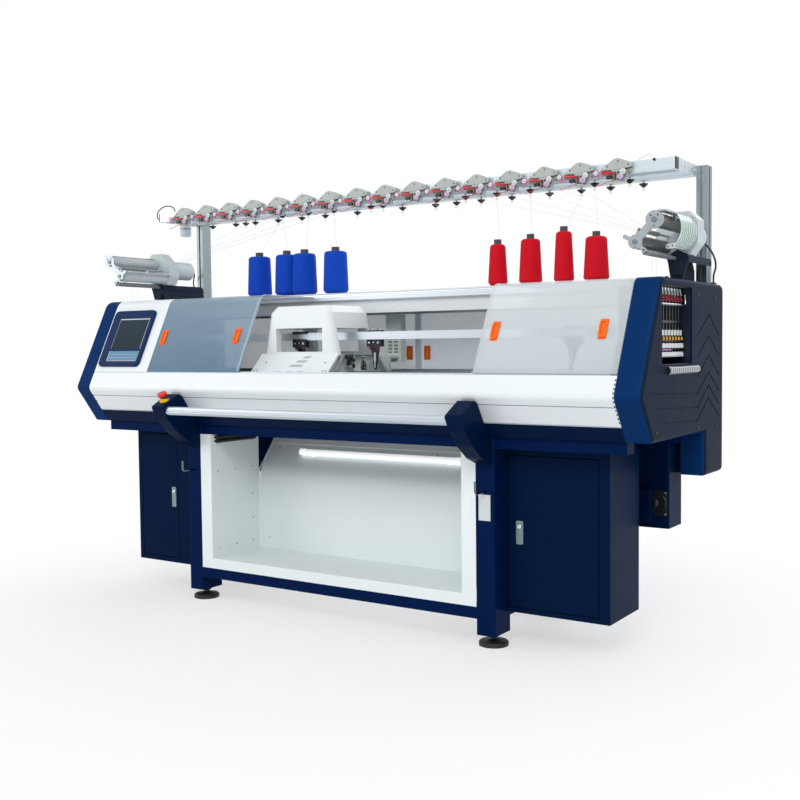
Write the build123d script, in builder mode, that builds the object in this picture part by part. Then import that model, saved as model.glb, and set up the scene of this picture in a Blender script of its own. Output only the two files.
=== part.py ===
from build123d import *
import os
from math import atan, cos, pi, sin, tan

# A flat knitting machine with a V bed. Sizes are in millimetres.
# X runs along the needle beds, the front faces -Y, Z is up and the floor is z = 0.

# Body
cover_in = 1248.0
cover_width = 92.0
cover_wall = 8.0
nose_y = -388.0
nose_z = 918.0
slope_tan = 0.489
cover_top = 1312.0
body_low = 765.0
under_front_y = -278.0
rear_y = 485.0
motor_low = 601.0
motor_y = 264.0
bend = 50.0
sheet_metal = 3.0
seam = 0.3
slide_gap = 0.4

# Frame
leg_in = 677.4
leg_width = 76.3
leg_front = -271.5
leg_depth = 120.0
rear_leg = 240.0
foot_height = 44.5
base_low = 103.0
base_high = 146.4
beam_low = 723.2
weld = 6.0
long_beam_front = -265.0
long_beam_rear = 200.0
long_beam_depth = 60.0
foot_diameter = 109.0
foot_stem = 24.0

# Fabric bay
bay_flange = 57.4
bay_sheet = 2.0
shelf_z = 190.0
chute_y = 35.0
chute_bend_z = 538.0
chute_top_y = 159.0
chute_top_z = 691.0
lamp_half = 412.0
lamp_diameter = 26.0

# Cabinets
cabinet_width = 401.8
cabinet_front = -188.6
cabinet_back = 83.7
cabinet_low = 124.2
cabinet_wall = 3.0
door_gap = 3.0
door_thick = 10.0
pin_inset = 6.0
pin_diameter = 6.0
latch_diameter = 18.0
latch_drop = 20.0
latch_seat = 12.0

# Beds and carriage
centre_y = -65.0
peak_z = 993.0
bed_half = 700.0
bed_gap = 6.0
bed_plate = 24.0
bed_reach = 250.0
trick_pitch = 20.0
carriage_x = -182.0
plate_half = 200.0
plate_height = 146.4
plate_start = 44.5
plate_end = 193.0
plate_thick = 8.0
arch_half = 140.0
arch_wall = 34.0
arch_base_half = 192.0
arch_top_half = 157.0
arch_side_top = 1232.0
arch_crown = 1259.0
tunnel_top = 1167.0
rail_half = 1224.0
carrier_rail_low = 1119.0
carrier_rail_high = 1150.0
carrier_rail_thick = 8.0
carrier_pitch = 40.0
carrier_places = (-250.0, 102.0, 950.0)

# Windows, table and yarn stand
window_low = 989.0
window_thick = 5.0
left_window_x = -912.0
right_window_x = 713.0
window_width = 533.0
table_front = 150.0
table_back = 365.0
table_rise = 15.0
table_drop = 77.0
header_back = 432.0
rear_window_low = 981.0
rear_window_y = 410.0
rear_step = 10.0
post_width = 40.0
post_step = 20.0
post_y = 374.0
post_depth = 60.0
stand_clear = 159.0
stand_front = 132.0
channel_height = 41.8
front_channel_depth = 26.0
middle_channel_y = 210.0
middle_channel_depth = 30.0
rear_channel_depth = 44.0
unit_first = -1147.0
unit_pitch = 146.8
unit_count = 16
unit_width = 120.0
unit_rise = 14.0
unit_drop = 28.0
unit_y = 112.0
unit_hook = 22.0

# Yarn packages: foot, shoulder, height, tube and tube height of the blue ones, and
# place, foot, shoulder and height of each red one
cone_y = 210.0
tube_wall = 2.0
blue_cones = (-745.0, -580.0, -476.0, -300.0)
blue_size = (113.0, 101.0, 188.0, 36.0, 207.0)
red_cones = (
    (515.0, 79.0, 61.0, 168.0),
    (661.0, 92.0, 75.0, 180.0),
    (804.0, 79.0, 61.0, 200.0),
    (938.0, 98.0, 80.0, 172.0),
)
red_tube = 30.0
red_tube_rise = 19.0

# Feeders, measured from the inner face and the top of the end cover
upper_roller_in = 64.0
upper_roller_rise = 185.0
lower_roller_in = -2.0
lower_roller_rise = 116.0
roller_diameter = 48.0
mount_rise = 88.0
mount_arch_rise = 33.0
housing_front = 90.0
housing_back = 150.0
housing_rise = 55.0
motor_diameter = 88.0
motor_in = 42.0
motor_rise = 164.0
journal = 10.0

# Controls
arm_in = 678.5
arm_width = 64.8
bar_y = -460.0
bar_z = 833.5
stop_travel = 5.0

cover_out = cover_in + cover_width
plate_in = cover_in - 24.0
leg_out = leg_in + leg_width
slope = atan(slope_tan)
top_front_y = nose_y + slope_tan * (cover_top - nose_z)
skirt_tan = (under_front_y - nose_y) / (nose_z - body_low)
table_top = cover_top + table_rise
table_low = cover_top - table_drop
upper_roller = (cover_in + upper_roller_in, cover_top + upper_roller_rise)
lower_roller = (cover_in + lower_roller_in, cover_top + lower_roller_rise)
motor_x = cover_in + motor_in
motor_z = cover_top + motor_rise
mount_top = cover_top + mount_rise
mount_arch = cover_top + mount_arch_rise
housing_top = upper_roller[1] + housing_rise
tallest_tube = max([blue_size[-1]] + [size[-1] + red_tube_rise for size in red_cones])
stand_rear = post_y
stand_low = max(table_top + tallest_tube, housing_top) + stand_clear
post_top = stand_low + channel_height
post_in = cover_in + post_step
bay_half = leg_in - bay_flange


def skin_y(z):
    """Where the front skin is at a height, above or below the nose."""
    if z >= nose_z:
        return nose_y + slope_tan * (z - nose_z)
    return nose_y + skirt_tan * (nose_z - z)


slope_plane = Plane(
    origin=(0, nose_y, nose_z),
    x_dir=(1, 0, 0),
    z_dir=(0, -cos(slope), sin(slope)),
)


def up(z):
    """Distance up the slope plane to a height."""
    return (z - nose_z) / cos(slope)


def block(x0, x1, y0, y1, z0, z1, mode=Mode.ADD):
    """A box between two corners, added to the part being built."""
    with Locations(((x0 + x1) / 2, (y0 + y1) / 2, (z0 + z1) / 2)):
        Box(x1 - x0, y1 - y0, z1 - z0, mode=mode)


def rod(start, along, diameter, length, mode=Mode.ADD):
    """A round rod from a point along a direction."""
    with BuildSketch(Plane(origin=start, z_dir=along)) as end:
        Circle(diameter / 2)
    extrude(end.sketch, amount=length, mode=mode)


def outline(plane, points, radii=(), inset=0.0):
    """A closed outline on a plane with rounded corners."""
    with BuildSketch(plane) as face:
        with BuildLine():
            Polyline(*points, close=True)
        make_face()
        for (along, across), radius in zip(points, radii):
            if radius:
                fillet(face.vertices().sort_by_distance((along, across, 0))[0], radius)
        if inset:
            offset(amount=-inset)
    return face.sketch


def folded(plane, points, radii, thickness, side):
    """The section of a folded sheet that follows a line."""
    with BuildSketch(plane) as face:
        with BuildLine():
            FilletPolyline(*points, radius=radii)
            offset(amount=thickness, side=side)
        make_face()
    return face.sketch


def keep(part, name):
    """Name a finished piece and write it."""
    part.label = name
    export_step(part, f"parts/{name}.step")
    print(name, len(part.solids()))


os.makedirs("parts", exist_ok=True)

# Base frame: four legs, beams and the two hooks on the front legs.
hook_wire = 9.0
hook_z = 567.0
hook_reach = 70.0
hook_rise = 45.0
with BuildPart() as base_frame:
    for front in (leg_front, rear_leg):
        block(leg_in, leg_out, front, front + leg_depth, foot_height, body_low)
    fillet(base_frame.edges().filter_by(Axis.Z), 5)
    for low, high in ((base_low, base_high), (beam_low, body_low)):
        block(leg_in, leg_out, leg_front + leg_depth - weld, rear_leg + weld, low, high)
    mirror(about=Plane.YZ)
    for front in (leg_front, rear_leg + leg_depth - long_beam_depth):
        block(-leg_in - weld, leg_in + weld, front, front + long_beam_depth, base_low, base_high)
    for front in (long_beam_front, long_beam_rear):
        block(-cover_in, cover_in, front, front + long_beam_depth, beam_low, body_low)
    for side in (-1, 1):
        hook_x = side * (leg_in + leg_width / 2)
        with BuildLine() as hook_path:
            FilletPolyline(
                (hook_x, leg_front + 2, hook_z),
                (hook_x, leg_front - hook_reach, hook_z),
                (hook_x, leg_front - hook_reach, hook_z + hook_rise),
                radius=14,
            )
        with BuildSketch(Plane(origin=(hook_x, leg_front + 2, hook_z), z_dir=(0, -1, 0))):
            Circle(hook_wire / 2)
        sweep(path=hook_path.line)
keep(base_frame.part, "base_frame")

# Leveling feet: a wide pad, a stem and its nut under each leg.
with BuildPart() as leveling_feet:
    with BuildSketch(Plane.XZ) as foot_section:
        with BuildLine():
            Polyline(
                (0, 0),
                (foot_diameter / 2, 0),
                (foot_diameter / 2, 12),
                (foot_diameter / 2 - 4, 16),
                (foot_stem, 20),
                (foot_stem / 2, 24),
                (foot_stem / 2, foot_height),
                (0, foot_height),
                close=True,
            )
        make_face()
    foot = revolve(foot_section.sketch, axis=Axis.Z, mode=Mode.PRIVATE)
    for front in (leg_front, rear_leg):
        for side in (-1, 1):
            with Locations((side * (leg_in + leg_width / 2), front + leg_depth / 2, 0)):
                add(foot)
keep(leveling_feet.part, "leveling_feet")

# Fabric bay: side walls with flanges, the shelf and its lip in one folded liner.
roll_slot_z = (688.0, 704.0)
with BuildPart() as bay_liner:
    for side in (-1, 1):
        low, high = sorted((side * bay_half, side * (bay_half - bay_sheet)))
        block(low, high, leg_front, chute_y, shelf_z - bay_sheet, beam_low)
        low, high = sorted((side * leg_in, side * (bay_half - bay_sheet)))
        block(low, high, leg_front, leg_front + bay_sheet, base_high, beam_low)
        for slot_z in roll_slot_z:
            low, high = sorted((side * (bay_half + 1), side * (bay_half - bay_sheet - 1)))
            block(low, high, leg_front + 22, 10, slot_z, slot_z + 8, mode=Mode.SUBTRACT)
    block(-bay_half, bay_half, leg_front, chute_y, shelf_z - bay_sheet, shelf_z)
    block(-bay_half, bay_half, leg_front, leg_front + bay_sheet, base_high, shelf_z)
keep(bay_liner.part, "bay_liner")

# Chute: the panel that the knitted piece slides down, with a strip along its top.
chute_half = bay_half - 8.0
strip_drop = 36.0
lean = atan((chute_top_y - chute_y) / (chute_top_z - chute_bend_z))
with BuildPart() as fabric_chute:
    extrude(
        folded(
            Plane.YZ.offset(-chute_half),
            [(chute_y, shelf_z), (chute_y, chute_bend_z), (chute_top_y, chute_top_z)],
            120,
            bay_sheet,
            Side.RIGHT,
        ),
        amount=2 * chute_half,
    )
    chute_top = Plane(
        origin=(0, chute_top_y, chute_top_z),
        x_dir=(1, 0, 0),
        z_dir=(0, -cos(lean), sin(lean)),
    )
    with BuildSketch(chute_top):
        with Locations((0, -strip_drop / 2 / cos(lean))):
            Rectangle(2 * chute_half, strip_drop / cos(lean))
    extrude(amount=bay_sheet)
keep(fabric_chute.part, "fabric_chute")

# Lamp: a tube along the leaning part of the chute, on two clips.
lamp_rise = lamp_diameter / 2 + 4
lamp_slide = -(chute_top_z - 616.0) / cos(lean)
lamp_plane = Plane(
    origin=chute_top.from_local_coords((0, lamp_slide, lamp_rise)),
    x_dir=(0, 1, 0),
    z_dir=(1, 0, 0),
)
with BuildPart() as bay_lamp:
    with BuildSketch(lamp_plane.offset(-lamp_half)):
        Circle(lamp_diameter / 2)
    extrude(amount=2 * lamp_half)
    for start in (-lamp_half, lamp_half - 22):
        with BuildSketch(lamp_plane.offset(start)):
            Circle(lamp_diameter / 2 + 2)
        extrude(amount=22)
    for place in (-lamp_half + 60, lamp_half - 60):
        with BuildSketch(chute_top):
            with Locations((place, lamp_slide)):
                Rectangle(14, 20)
        extrude(amount=lamp_rise)
keep(bay_lamp.part, "bay_lamp")


def cabinet(side, door_x0, door_x1, door_z0, door_z1):
    """A cabinet shell hung on the leg, with the hole and hinge eyes of its door."""
    near, far = sorted((side * leg_out, side * (leg_out + cabinet_width)))
    with BuildPart() as shell:
        block(near, far, cabinet_front, cabinet_back, cabinet_low, beam_low)
        fillet(shell.edges().filter_by(Axis.Z).sort_by(Axis.Y)[:2], 4)
        block(
            near + cabinet_wall,
            far - cabinet_wall,
            cabinet_front + cabinet_wall,
            cabinet_back - cabinet_wall,
            cabinet_low + cabinet_wall,
            beam_low - cabinet_wall,
            mode=Mode.SUBTRACT,
        )
        block(
            door_x0 - door_gap,
            door_x1 + door_gap,
            cabinet_front - 1,
            cabinet_front + cabinet_wall + 1,
            door_z0 - door_gap,
            door_z1 + door_gap,
            mode=Mode.SUBTRACT,
        )
        pin_x = door_x1 - pin_inset if side > 0 else door_x0 + pin_inset
        pin_y = cabinet_front + door_thick / 2
        for low, high in ((cabinet_low + 1, door_z0 - door_gap), (door_z1 + door_gap, beam_low - 1)):
            block(pin_x - 9, pin_x + 9, cabinet_front + 1, pin_y + 9, low, high)
        with Locations((pin_x, pin_y, (door_z0 + door_z1) / 2)):
            Cylinder(
                pin_diameter / 2 + seam,
                door_z1 - door_z0 + 2 * door_gap + 16,
                mode=Mode.SUBTRACT,
            )
    return shell.part


def cabinet_door(side, door_x0, door_x1, door_z0, door_z1, plate_x, plate_z):
    """A door pan with its hinge pins, its latch plate and the bore of the latch."""
    pin_x = door_x1 - pin_inset if side > 0 else door_x0 + pin_inset
    pin_y = cabinet_front + door_thick / 2
    with BuildPart() as door:
        block(door_x0, door_x1, cabinet_front, cabinet_front + door_thick, door_z0, door_z1)
        block(
            door_x0 + 14,
            door_x1 - 14,
            cabinet_front + 2,
            cabinet_front + door_thick + 1,
            door_z0 + 14,
            door_z1 - 14,
            mode=Mode.SUBTRACT,
        )
        plate_x0, plate_x1 = plate_x
        plate_z0, plate_z1 = plate_z
        with BuildSketch(Plane.XZ.offset(-cabinet_front - 3)):
            with Locations(((plate_x0 + plate_x1) / 2, (plate_z0 + plate_z1) / 2)):
                RectangleRounded(plate_x1 - plate_x0, plate_z1 - plate_z0, 5)
        extrude(amount=5)
        with Locations((pin_x, pin_y, (door_z0 + door_z1) / 2)):
            Cylinder(pin_diameter / 2, door_z1 - door_z0 + 2 * door_gap + 14)
        latch_place = ((plate_x0 + plate_x1) / 2, cabinet_front + latch_seat, plate_z1 - latch_drop)
        rod(latch_place, (0, -1, 0), latch_diameter + 8, 10)
        rod(latch_place, (0, -1, 0), latch_diameter + 2 * slide_gap, 20, mode=Mode.SUBTRACT)
    return door.part


def latch_button(plate_x, plate_z):
    """The round push button of a door latch, a small head on its stem."""
    place = (sum(plate_x) / 2, cabinet_front + latch_seat, plate_z[1] - latch_drop)
    with BuildPart() as button:
        rod(place, (0, -1, 0), latch_diameter, 19)
        chamfer(button.edges().group_by(Axis.Y)[0], 1.5)
    return button.part


right_door = (767.0, 1114.0, 145.0, 693.0)
right_plate = ((798.0, 826.0), (374.0, 459.0))
left_door = (-1128.0, -905.0, 148.0, 705.0)
left_plate = ((-940.0, -914.0), (378.0, 468.0))
keep(cabinet(1, *right_door), "right_cabinet")
keep(cabinet(-1, *left_door), "left_cabinet")
keep(cabinet_door(1, *right_door, *right_plate), "right_cabinet_door")
keep(cabinet_door(-1, *left_door, *left_plate), "left_cabinet_door")
keep(latch_button(*right_plate), "right_door_latch")
keep(latch_button(*left_plate), "left_door_latch")

# End covers: one moulded shell each side, open towards the machine.
cover_corners = [
    (under_front_y, body_low),
    (nose_y, nose_z),
    (top_front_y, cover_top),
    (rear_y, cover_top),
    (rear_y, motor_low),
    (motor_y, motor_low),
    (motor_y, body_low),
]
cover_radii = (6, 28, bend, 30, 20, 20, 8)
side_opening = (-196.0, 110.0, 1018.0, 1285.0)
pocket_in = 1190.0
groove = 5.0
groove_depth = 2.5
chevron_apex = 300.0
chevron_half = 128.0
chevron_drop = 75.0
chevrons = (1194.0, 1117.0, 1046.0, 985.0, 936.0, 889.0)
chevron_tails = ((-295.0, 929.0), (-260.0, 879.0), (-213.0, 828.0))
post_clearance = 1.0


def end_cover(side):
    """The right cover, mirrored for the left one."""
    with BuildPart() as cover:
        extrude(outline(Plane.YZ.offset(cover_in), cover_corners, cover_radii), amount=cover_width)
        fillet(cover.faces().sort_by(Axis.X)[-1].edges(), 18)
        extrude(
            outline(Plane.YZ.offset(cover_in), cover_corners, cover_radii, cover_wall),
            amount=cover_width - cover_wall,
            mode=Mode.SUBTRACT,
        )
        y0, y1, z0, z1 = side_opening
        with BuildSketch(Plane.YZ.offset(cover_in)):
            with Locations(((y0 + y1) / 2, (z0 + z1) / 2)):
                RectangleRounded(y1 - y0, z1 - z0, 12)
        extrude(amount=cover_width + 1, mode=Mode.SUBTRACT)
        tails = [None, None, None, *chevron_tails]
        for apex_z, tail in zip(chevrons, tails):
            points = [
                (chevron_apex + chevron_half, apex_z - chevron_drop),
                (chevron_apex, apex_z),
                (chevron_apex - chevron_half, apex_z - chevron_drop),
            ]
            if tail:
                points.append(tail)
            with BuildSketch(Plane.YZ.offset(cover_out - groove_depth)) as cut:
                with BuildLine() as line:
                    Polyline(*points)
                trace(line_width=groove)
            extrude(cut.sketch, amount=4, mode=Mode.SUBTRACT)
        block(
            post_in - post_clearance,
            post_in + post_width + post_clearance,
            post_y - post_clearance,
            post_y + post_depth + post_clearance,
            cover_top - cover_wall - 1,
            cover_top + 1,
            mode=Mode.SUBTRACT,
        )
    if side < 0:
        return mirror(cover.part, about=Plane.YZ)
    return cover.part


keep(end_cover(1), "right_end_cover")
keep(end_cover(-1), "left_end_cover")

# Side frames: plates that close the ends, carry the rails and stand on the beams.
plate_inset = 7.0
with BuildPart() as side_frames:
    extrude(
        outline(Plane.YZ.offset(plate_in), cover_corners, cover_radii, plate_inset),
        amount=cover_in - plate_in,
    )
    for front in (long_beam_front, long_beam_rear):
        block(
            plate_in,
            cover_in,
            front + 1,
            min(front + long_beam_depth, motor_y) - 12,
            body_low,
            body_low + plate_inset + 4,
        )
    y0, y1, z0, z1 = side_opening
    block(plate_in - 1, cover_in + 1, y0, y1, z0, z1, mode=Mode.SUBTRACT)
    mirror(about=Plane.YZ)
keep(side_frames.part, "side_frames")


def clear_side_frames():
    """Cut the part being built free of the side frames."""
    for start in (-cover_in - 1, plate_in - seam):
        room = outline(Plane.YZ.offset(start), cover_corners, cover_radii, plate_inset - seam)
        extrude(room, amount=cover_in - plate_in + 1 + seam, mode=Mode.SUBTRACT)


# Front cover: white, from the foot of the windows over the soft nose to a bright lip.
lip_z = 820.0
front_groove_z = 885.0
ledge = 32.0
with BuildPart() as front_cover:
    extrude(
        folded(
            Plane.YZ.offset(-cover_in),
            [
                (skin_y(window_low) + ledge, window_low),
                (skin_y(window_low), window_low),
                (nose_y, nose_z),
                (skin_y(lip_z), lip_z),
                (skin_y(lip_z) + 16, lip_z),
            ],
            [2 * sheet_metal, 28, sheet_metal],
            sheet_metal,
            Side.LEFT,
        ),
        amount=2 * cover_in,
    )
    block(
        -cover_in - 1,
        cover_in + 1,
        skin_y(front_groove_z) - 5,
        skin_y(front_groove_z) + 1.2,
        front_groove_z - 1.5,
        front_groove_z + 1.5,
        mode=Mode.SUBTRACT,
    )
    clear_side_frames()
keep(front_cover.part, "front_cover")

# Lower trim: a navy strip under the lip, turned in at its foot.
with BuildPart() as lower_trim:
    extrude(
        folded(
            Plane.YZ.offset(-cover_in),
            [
                (skin_y(lip_z) + 16, lip_z - seam),
                (skin_y(lip_z - seam) + 1, lip_z - seam),
                (under_front_y + 1, body_low),
                (long_beam_front + 20, body_low),
            ],
            [sheet_metal, 2 * sheet_metal],
            sheet_metal,
            Side.LEFT,
        ),
        amount=2 * cover_in,
    )
    for side in (-1, 1):
        low, high = sorted((side * (plate_in - 1), side * (cover_in + 1)))
        block(
            low,
            high,
            long_beam_front - 1,
            long_beam_front + 30,
            body_low - 1,
            body_low + 15,
            mode=Mode.SUBTRACT,
        )
    clear_side_frames()
keep(lower_trim.part, "lower_trim")

# Upper left hood: the fixed white panel that carries the screen.
hood_end = left_window_x - 0.5
hood_foot = window_low + sheet_metal * sin(slope) + seam
with BuildPart() as left_hood:
    extrude(
        folded(
            Plane.YZ.offset(-cover_in),
            [
                (skin_y(hood_foot), hood_foot),
                (top_front_y, cover_top),
                (table_front, cover_top),
            ],
            bend,
            sheet_metal,
            Side.RIGHT,
        ),
        amount=hood_end + cover_in,
    )
keep(left_hood.part, "left_hood")

# Screen bezel: a raised frame on the hood with two recesses.
bezel_x = (-1232.0, -972.0)
bezel_z = (1012.0, 1261.0)
bezel_thick = 12.0
bezel_edge = 5.0
recess_floor = 4.0
panel_thick = 6.0
key_rise = 1.0
screen_x = (-1182.0, -991.0)
screen_z = (1087.0, 1223.0)
keypad_x = (-1184.0, -991.0)
keypad_z = (1033.0, 1078.0)
panel_clearance = 0.5


def slope_rectangle(x_range, z_range, radius, grow=0.0):
    """A rounded rectangle on the slope plane between two heights."""
    width = x_range[1] - x_range[0] + 2 * grow
    height = up(z_range[1]) - up(z_range[0]) + 2 * grow
    with Locations((sum(x_range) / 2, (up(z_range[0]) + up(z_range[1])) / 2)):
        RectangleRounded(width, height, radius)


with BuildPart() as screen_bezel:
    with BuildSketch(slope_plane):
        slope_rectangle(bezel_x, bezel_z, 22)
    extrude(amount=bezel_thick)
    bezel_front = slope_plane.from_local_coords((sum(bezel_x) / 2, up(sum(bezel_z) / 2), 2 * bezel_thick))
    fillet(screen_bezel.faces().sort_by_distance(bezel_front)[0].edges(), bezel_edge)
    for x_range, z_range in ((screen_x, screen_z), (keypad_x, keypad_z)):
        with BuildSketch(slope_plane.offset(recess_floor)):
            slope_rectangle(x_range, z_range, 3, panel_clearance)
        extrude(amount=bezel_thick, mode=Mode.SUBTRACT)
keep(screen_bezel.part, "screen_bezel")

# Operator panel: the screen and the membrane keypad with its 33 keys.
key_rows = 3
key_columns = 11
with BuildPart() as operator_panel:
    for x_range, z_range in ((screen_x, screen_z), (keypad_x, keypad_z)):
        with BuildSketch(slope_plane.offset(recess_floor)):
            slope_rectangle(x_range, z_range, 2.5)
        extrude(amount=panel_thick)
    with BuildSketch(slope_plane.offset(recess_floor + panel_thick)):
        with Locations((sum(keypad_x) / 2, (up(keypad_z[0]) + up(keypad_z[1])) / 2)):
            with GridLocations(17, 15.5, key_columns, key_rows):
                Rectangle(12, 10)
    extrude(amount=key_rise)
keep(operator_panel.part, "operator_panel")

# Windows: bent clear panels on tracks, with orange handles.
handle_size = (28.0, 66.0)
handle_z = 1140.0
track_wall = 2.0
track_lip = 5.0
window_foot = window_low + track_wall + window_thick * sin(slope) + slide_gap


def front_window(x0, handle_offsets):
    """A front window with its two handles, standing in its tracks."""
    with BuildPart() as window:
        extrude(
            folded(
                Plane.YZ.offset(x0),
                [
                    (skin_y(window_foot), window_foot),
                    (top_front_y, cover_top),
                    (table_front - slide_gap, cover_top),
                ],
                bend,
                window_thick,
                Side.RIGHT,
            ),
            amount=window_width,
        )
        with BuildSketch(slope_plane):
            with Locations(*[(x0 + offset, up(handle_z)) for offset in handle_offsets]):
                RectangleRounded(*handle_size, 10)
        extrude(amount=6)
        with BuildSketch(slope_plane.offset(1.5)):
            with Locations(*[(x0 + offset, up(handle_z)) for offset in handle_offsets]):
                RectangleRounded(handle_size[0] - 12, handle_size[1] - 14, 7)
        extrude(amount=6, mode=Mode.SUBTRACT)
    return window.part


keep(front_window(left_window_x, (38.0, 464.0)), "left_front_window")
keep(front_window(right_window_x, (53.0, 457.0)), "right_front_window")

rear_overlap = 12.0
rear_window_rise = 14.0
finger_z = (1030.0, 1091.0)
finger_width = 30.0
finger_rim = 7.0


def rear_window(x0, x1, inner_y, finger_x):
    """A flat rear window with a raised oval finger plate."""
    with BuildPart() as window:
        window_top = table_low + rear_window_rise
        block(x0, x1, inner_y, inner_y + window_thick, rear_window_low + slide_gap, window_top)
        with BuildSketch(Plane.XZ.offset(-inner_y - window_thick - 2)):
            with Locations((finger_x, sum(finger_z) / 2)):
                SlotOverall(finger_z[1] - finger_z[0], finger_width, rotation=90)
        extrude(amount=window_thick + 4)
        with BuildSketch(Plane.XZ.offset(-inner_y + 3)):
            with Locations((finger_x, sum(finger_z) / 2)):
                SlotOverall(finger_z[1] - finger_z[0] - 16, finger_width - 2 * finger_rim, rotation=90)
        extrude(amount=-5, mode=Mode.SUBTRACT)
    return window.part


rear_end = plate_in - 2.0
keep(rear_window(-rear_end, rear_overlap, rear_window_y + rear_step, -50.0), "left_rear_window")
keep(rear_window(-rear_overlap, rear_end, rear_window_y, 50.0), "right_rear_window")

# Tracks of all the windows, fixed to the covers and the table.
track_foot = 5.0
track_height = 18.0
track_cap = 4.0
track_rail = 3.5
rear_track = (rear_window_y - track_rail, rear_window_y + rear_step + window_thick + track_rail)
with BuildPart() as window_tracks:
    track_in = skin_y(window_low) + window_thick / cos(slope) + 1.2
    extrude(
        outline(
            Plane.YZ.offset(hood_end),
            [
                (skin_y(window_low) + 1, window_low),
                (track_in + 5, window_low),
                (track_in + 5 + slope_tan * track_lip, window_low + track_lip),
                (track_in + slope_tan * track_lip, window_low + track_lip),
                (track_in + 1, window_low + 2),
                (skin_y(window_low) + 1, window_low + 2),
            ],
        ),
        amount=plate_in - hood_end - 1,
    )
    block(
        hood_end,
        plate_in - 1,
        table_front - 20,
        table_front,
        cover_top - window_thick - slide_gap - 14,
        cover_top - window_thick - slide_gap,
    )
    sill_low = rear_window_low - track_foot
    head_top = table_low + track_height + track_cap
    for low, high in ((sill_low, rear_window_low + 8), (table_low, table_low + track_height)):
        for y0, y1 in (
            (rear_track[0], rear_window_y - slide_gap),
            (rear_window_y + window_thick + slide_gap, rear_window_y + rear_step - slide_gap),
            (rear_window_y + rear_step + window_thick + slide_gap, rear_track[1]),
        ):
            block(-rear_end, rear_end, y0, y1, low, high)
    block(-rear_end, rear_end, *rear_track, sill_low, rear_window_low)
    block(-rear_end, rear_end, *rear_track, table_low + track_height, head_top)
keep(window_tracks.part, "window_tracks")

# Yarn table: one folded sheet from the front edge to the rear window header.
with BuildPart() as yarn_table:
    extrude(
        folded(
            Plane.YZ.offset(-plate_in),
            [
                (table_front, table_low),
                (table_front, table_top),
                (table_back, table_top),
                (table_back, cover_top),
                (header_back, cover_top),
                (header_back, table_low + 2),
            ],
            [10, 6, 4, 8],
            sheet_metal,
            Side.RIGHT,
        ),
        amount=2 * plate_in,
    )
    block(-plate_in, plate_in, rear_track[0], header_back - 1, head_top, head_top + sheet_metal)
    block(-plate_in, plate_in, rear_track[0], rear_track[0] + sheet_metal, head_top, cover_top - 1)
keep(yarn_table.part, "yarn_table")

# Rear cover: closes the back from the window sill to the frame.
sill_back = 440.0
with BuildPart() as rear_cover:
    extrude(
        folded(
            Plane.YZ.offset(-plate_in),
            [
                (rear_window_y - 30, sill_low),
                (sill_back, sill_low),
                (sill_back, 840),
                (sill_back - 70, body_low),
                (long_beam_rear + 20, body_low),
            ],
            [8, 20, 12],
            sheet_metal,
            Side.RIGHT,
        ),
        amount=2 * plate_in,
    )
keep(rear_cover.part, "rear_cover")


def bed_point(side, down, off):
    """A point of the bed section, down the slope and off the face."""
    along = side * (down + off) / 2**0.5
    return (centre_y + along, peak_z + (off - down) / 2**0.5)


def bed_block(side, half_x, down0, down1, off0, off1, centre_x=0.0, mode=Mode.ADD):
    """A block lying along a bed, given in the bed's own section."""
    extrude(
        outline(
            Plane.YZ.offset(centre_x - half_x),
            [
                bed_point(side, down0, off0),
                bed_point(side, down1, off0),
                bed_point(side, down1, off1),
                bed_point(side, down0, off1),
            ],
        ),
        amount=2 * half_x,
        mode=mode,
    )


# Machine bed: the long casting under both needle beds, on the cross beams.
web_thick = 20.0
roller_radius = 25.0
take_down_z = 800.0
take_down_gap = 0.6
take_down_off = roller_radius + take_down_gap / 2
with BuildPart() as machine_bed:
    for side in (-1, 1):
        outer_y = bed_point(side, bed_reach + 20, -bed_plate)[0]
        extrude(
            outline(
                Plane.YZ.offset(-bed_half),
                [
                    bed_point(side, 60, -bed_plate),
                    bed_point(side, bed_reach + 20, -bed_plate),
                    (outer_y, body_low),
                    (outer_y - side * 54, body_low),
                ],
            ),
            amount=2 * bed_half,
        )
    for end in (-1, 1):
        low, high = sorted((end * (bed_half - 1), end * (bed_half + web_thick)))
        extrude(
            outline(
                Plane.YZ.offset(low),
                [
                    (centre_y - 150, body_low),
                    (centre_y + 150, body_low),
                    bed_point(1, bed_reach + 20, -bed_plate),
                    (centre_y, bed_point(1, bed_plate, -bed_plate)[1]),
                    bed_point(-1, bed_reach + 20, -bed_plate),
                ],
            ),
            amount=high - low,
        )
        for side in (-1, 1):
            rod(
                (end * (bed_half - 30), centre_y + side * take_down_off, take_down_z),
                (end, 0, 0),
                journal + 2 * seam,
                70,
                mode=Mode.SUBTRACT,
            )
keep(machine_bed.part, "machine_bed")

# Needle beds: two steel plates with tricks milled across them.
trick_depth = 3.0
trick_width = 8.0
with BuildPart() as needle_beds:
    for side in (-1, 1):
        inner_y = centre_y + side * bed_gap / 2
        extrude(
            outline(
                Plane.YZ.offset(-bed_half),
                [
                    (inner_y, peak_z - bed_gap / 2),
                    bed_point(side, bed_reach, 0),
                    bed_point(side, bed_reach, -bed_plate),
                    (inner_y, peak_z - bed_gap / 2 - bed_plate * 2**0.5),
                ],
            ),
            amount=2 * bed_half,
        )
        count = int(2 * bed_half / trick_pitch) - 1
        middle = Plane(
            origin=(0, *bed_point(side, (bed_gap / 2 + bed_reach) / 2, 0)),
            x_dir=(1, 0, 0),
            z_dir=(0, side, 1),
        )
        with BuildSketch(middle):
            with GridLocations(trick_pitch, 10, count, 1):
                Rectangle(trick_width, bed_reach + 20)
        extrude(amount=-trick_depth, mode=Mode.SUBTRACT)
keep(needle_beds.part, "needle_beds")

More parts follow.
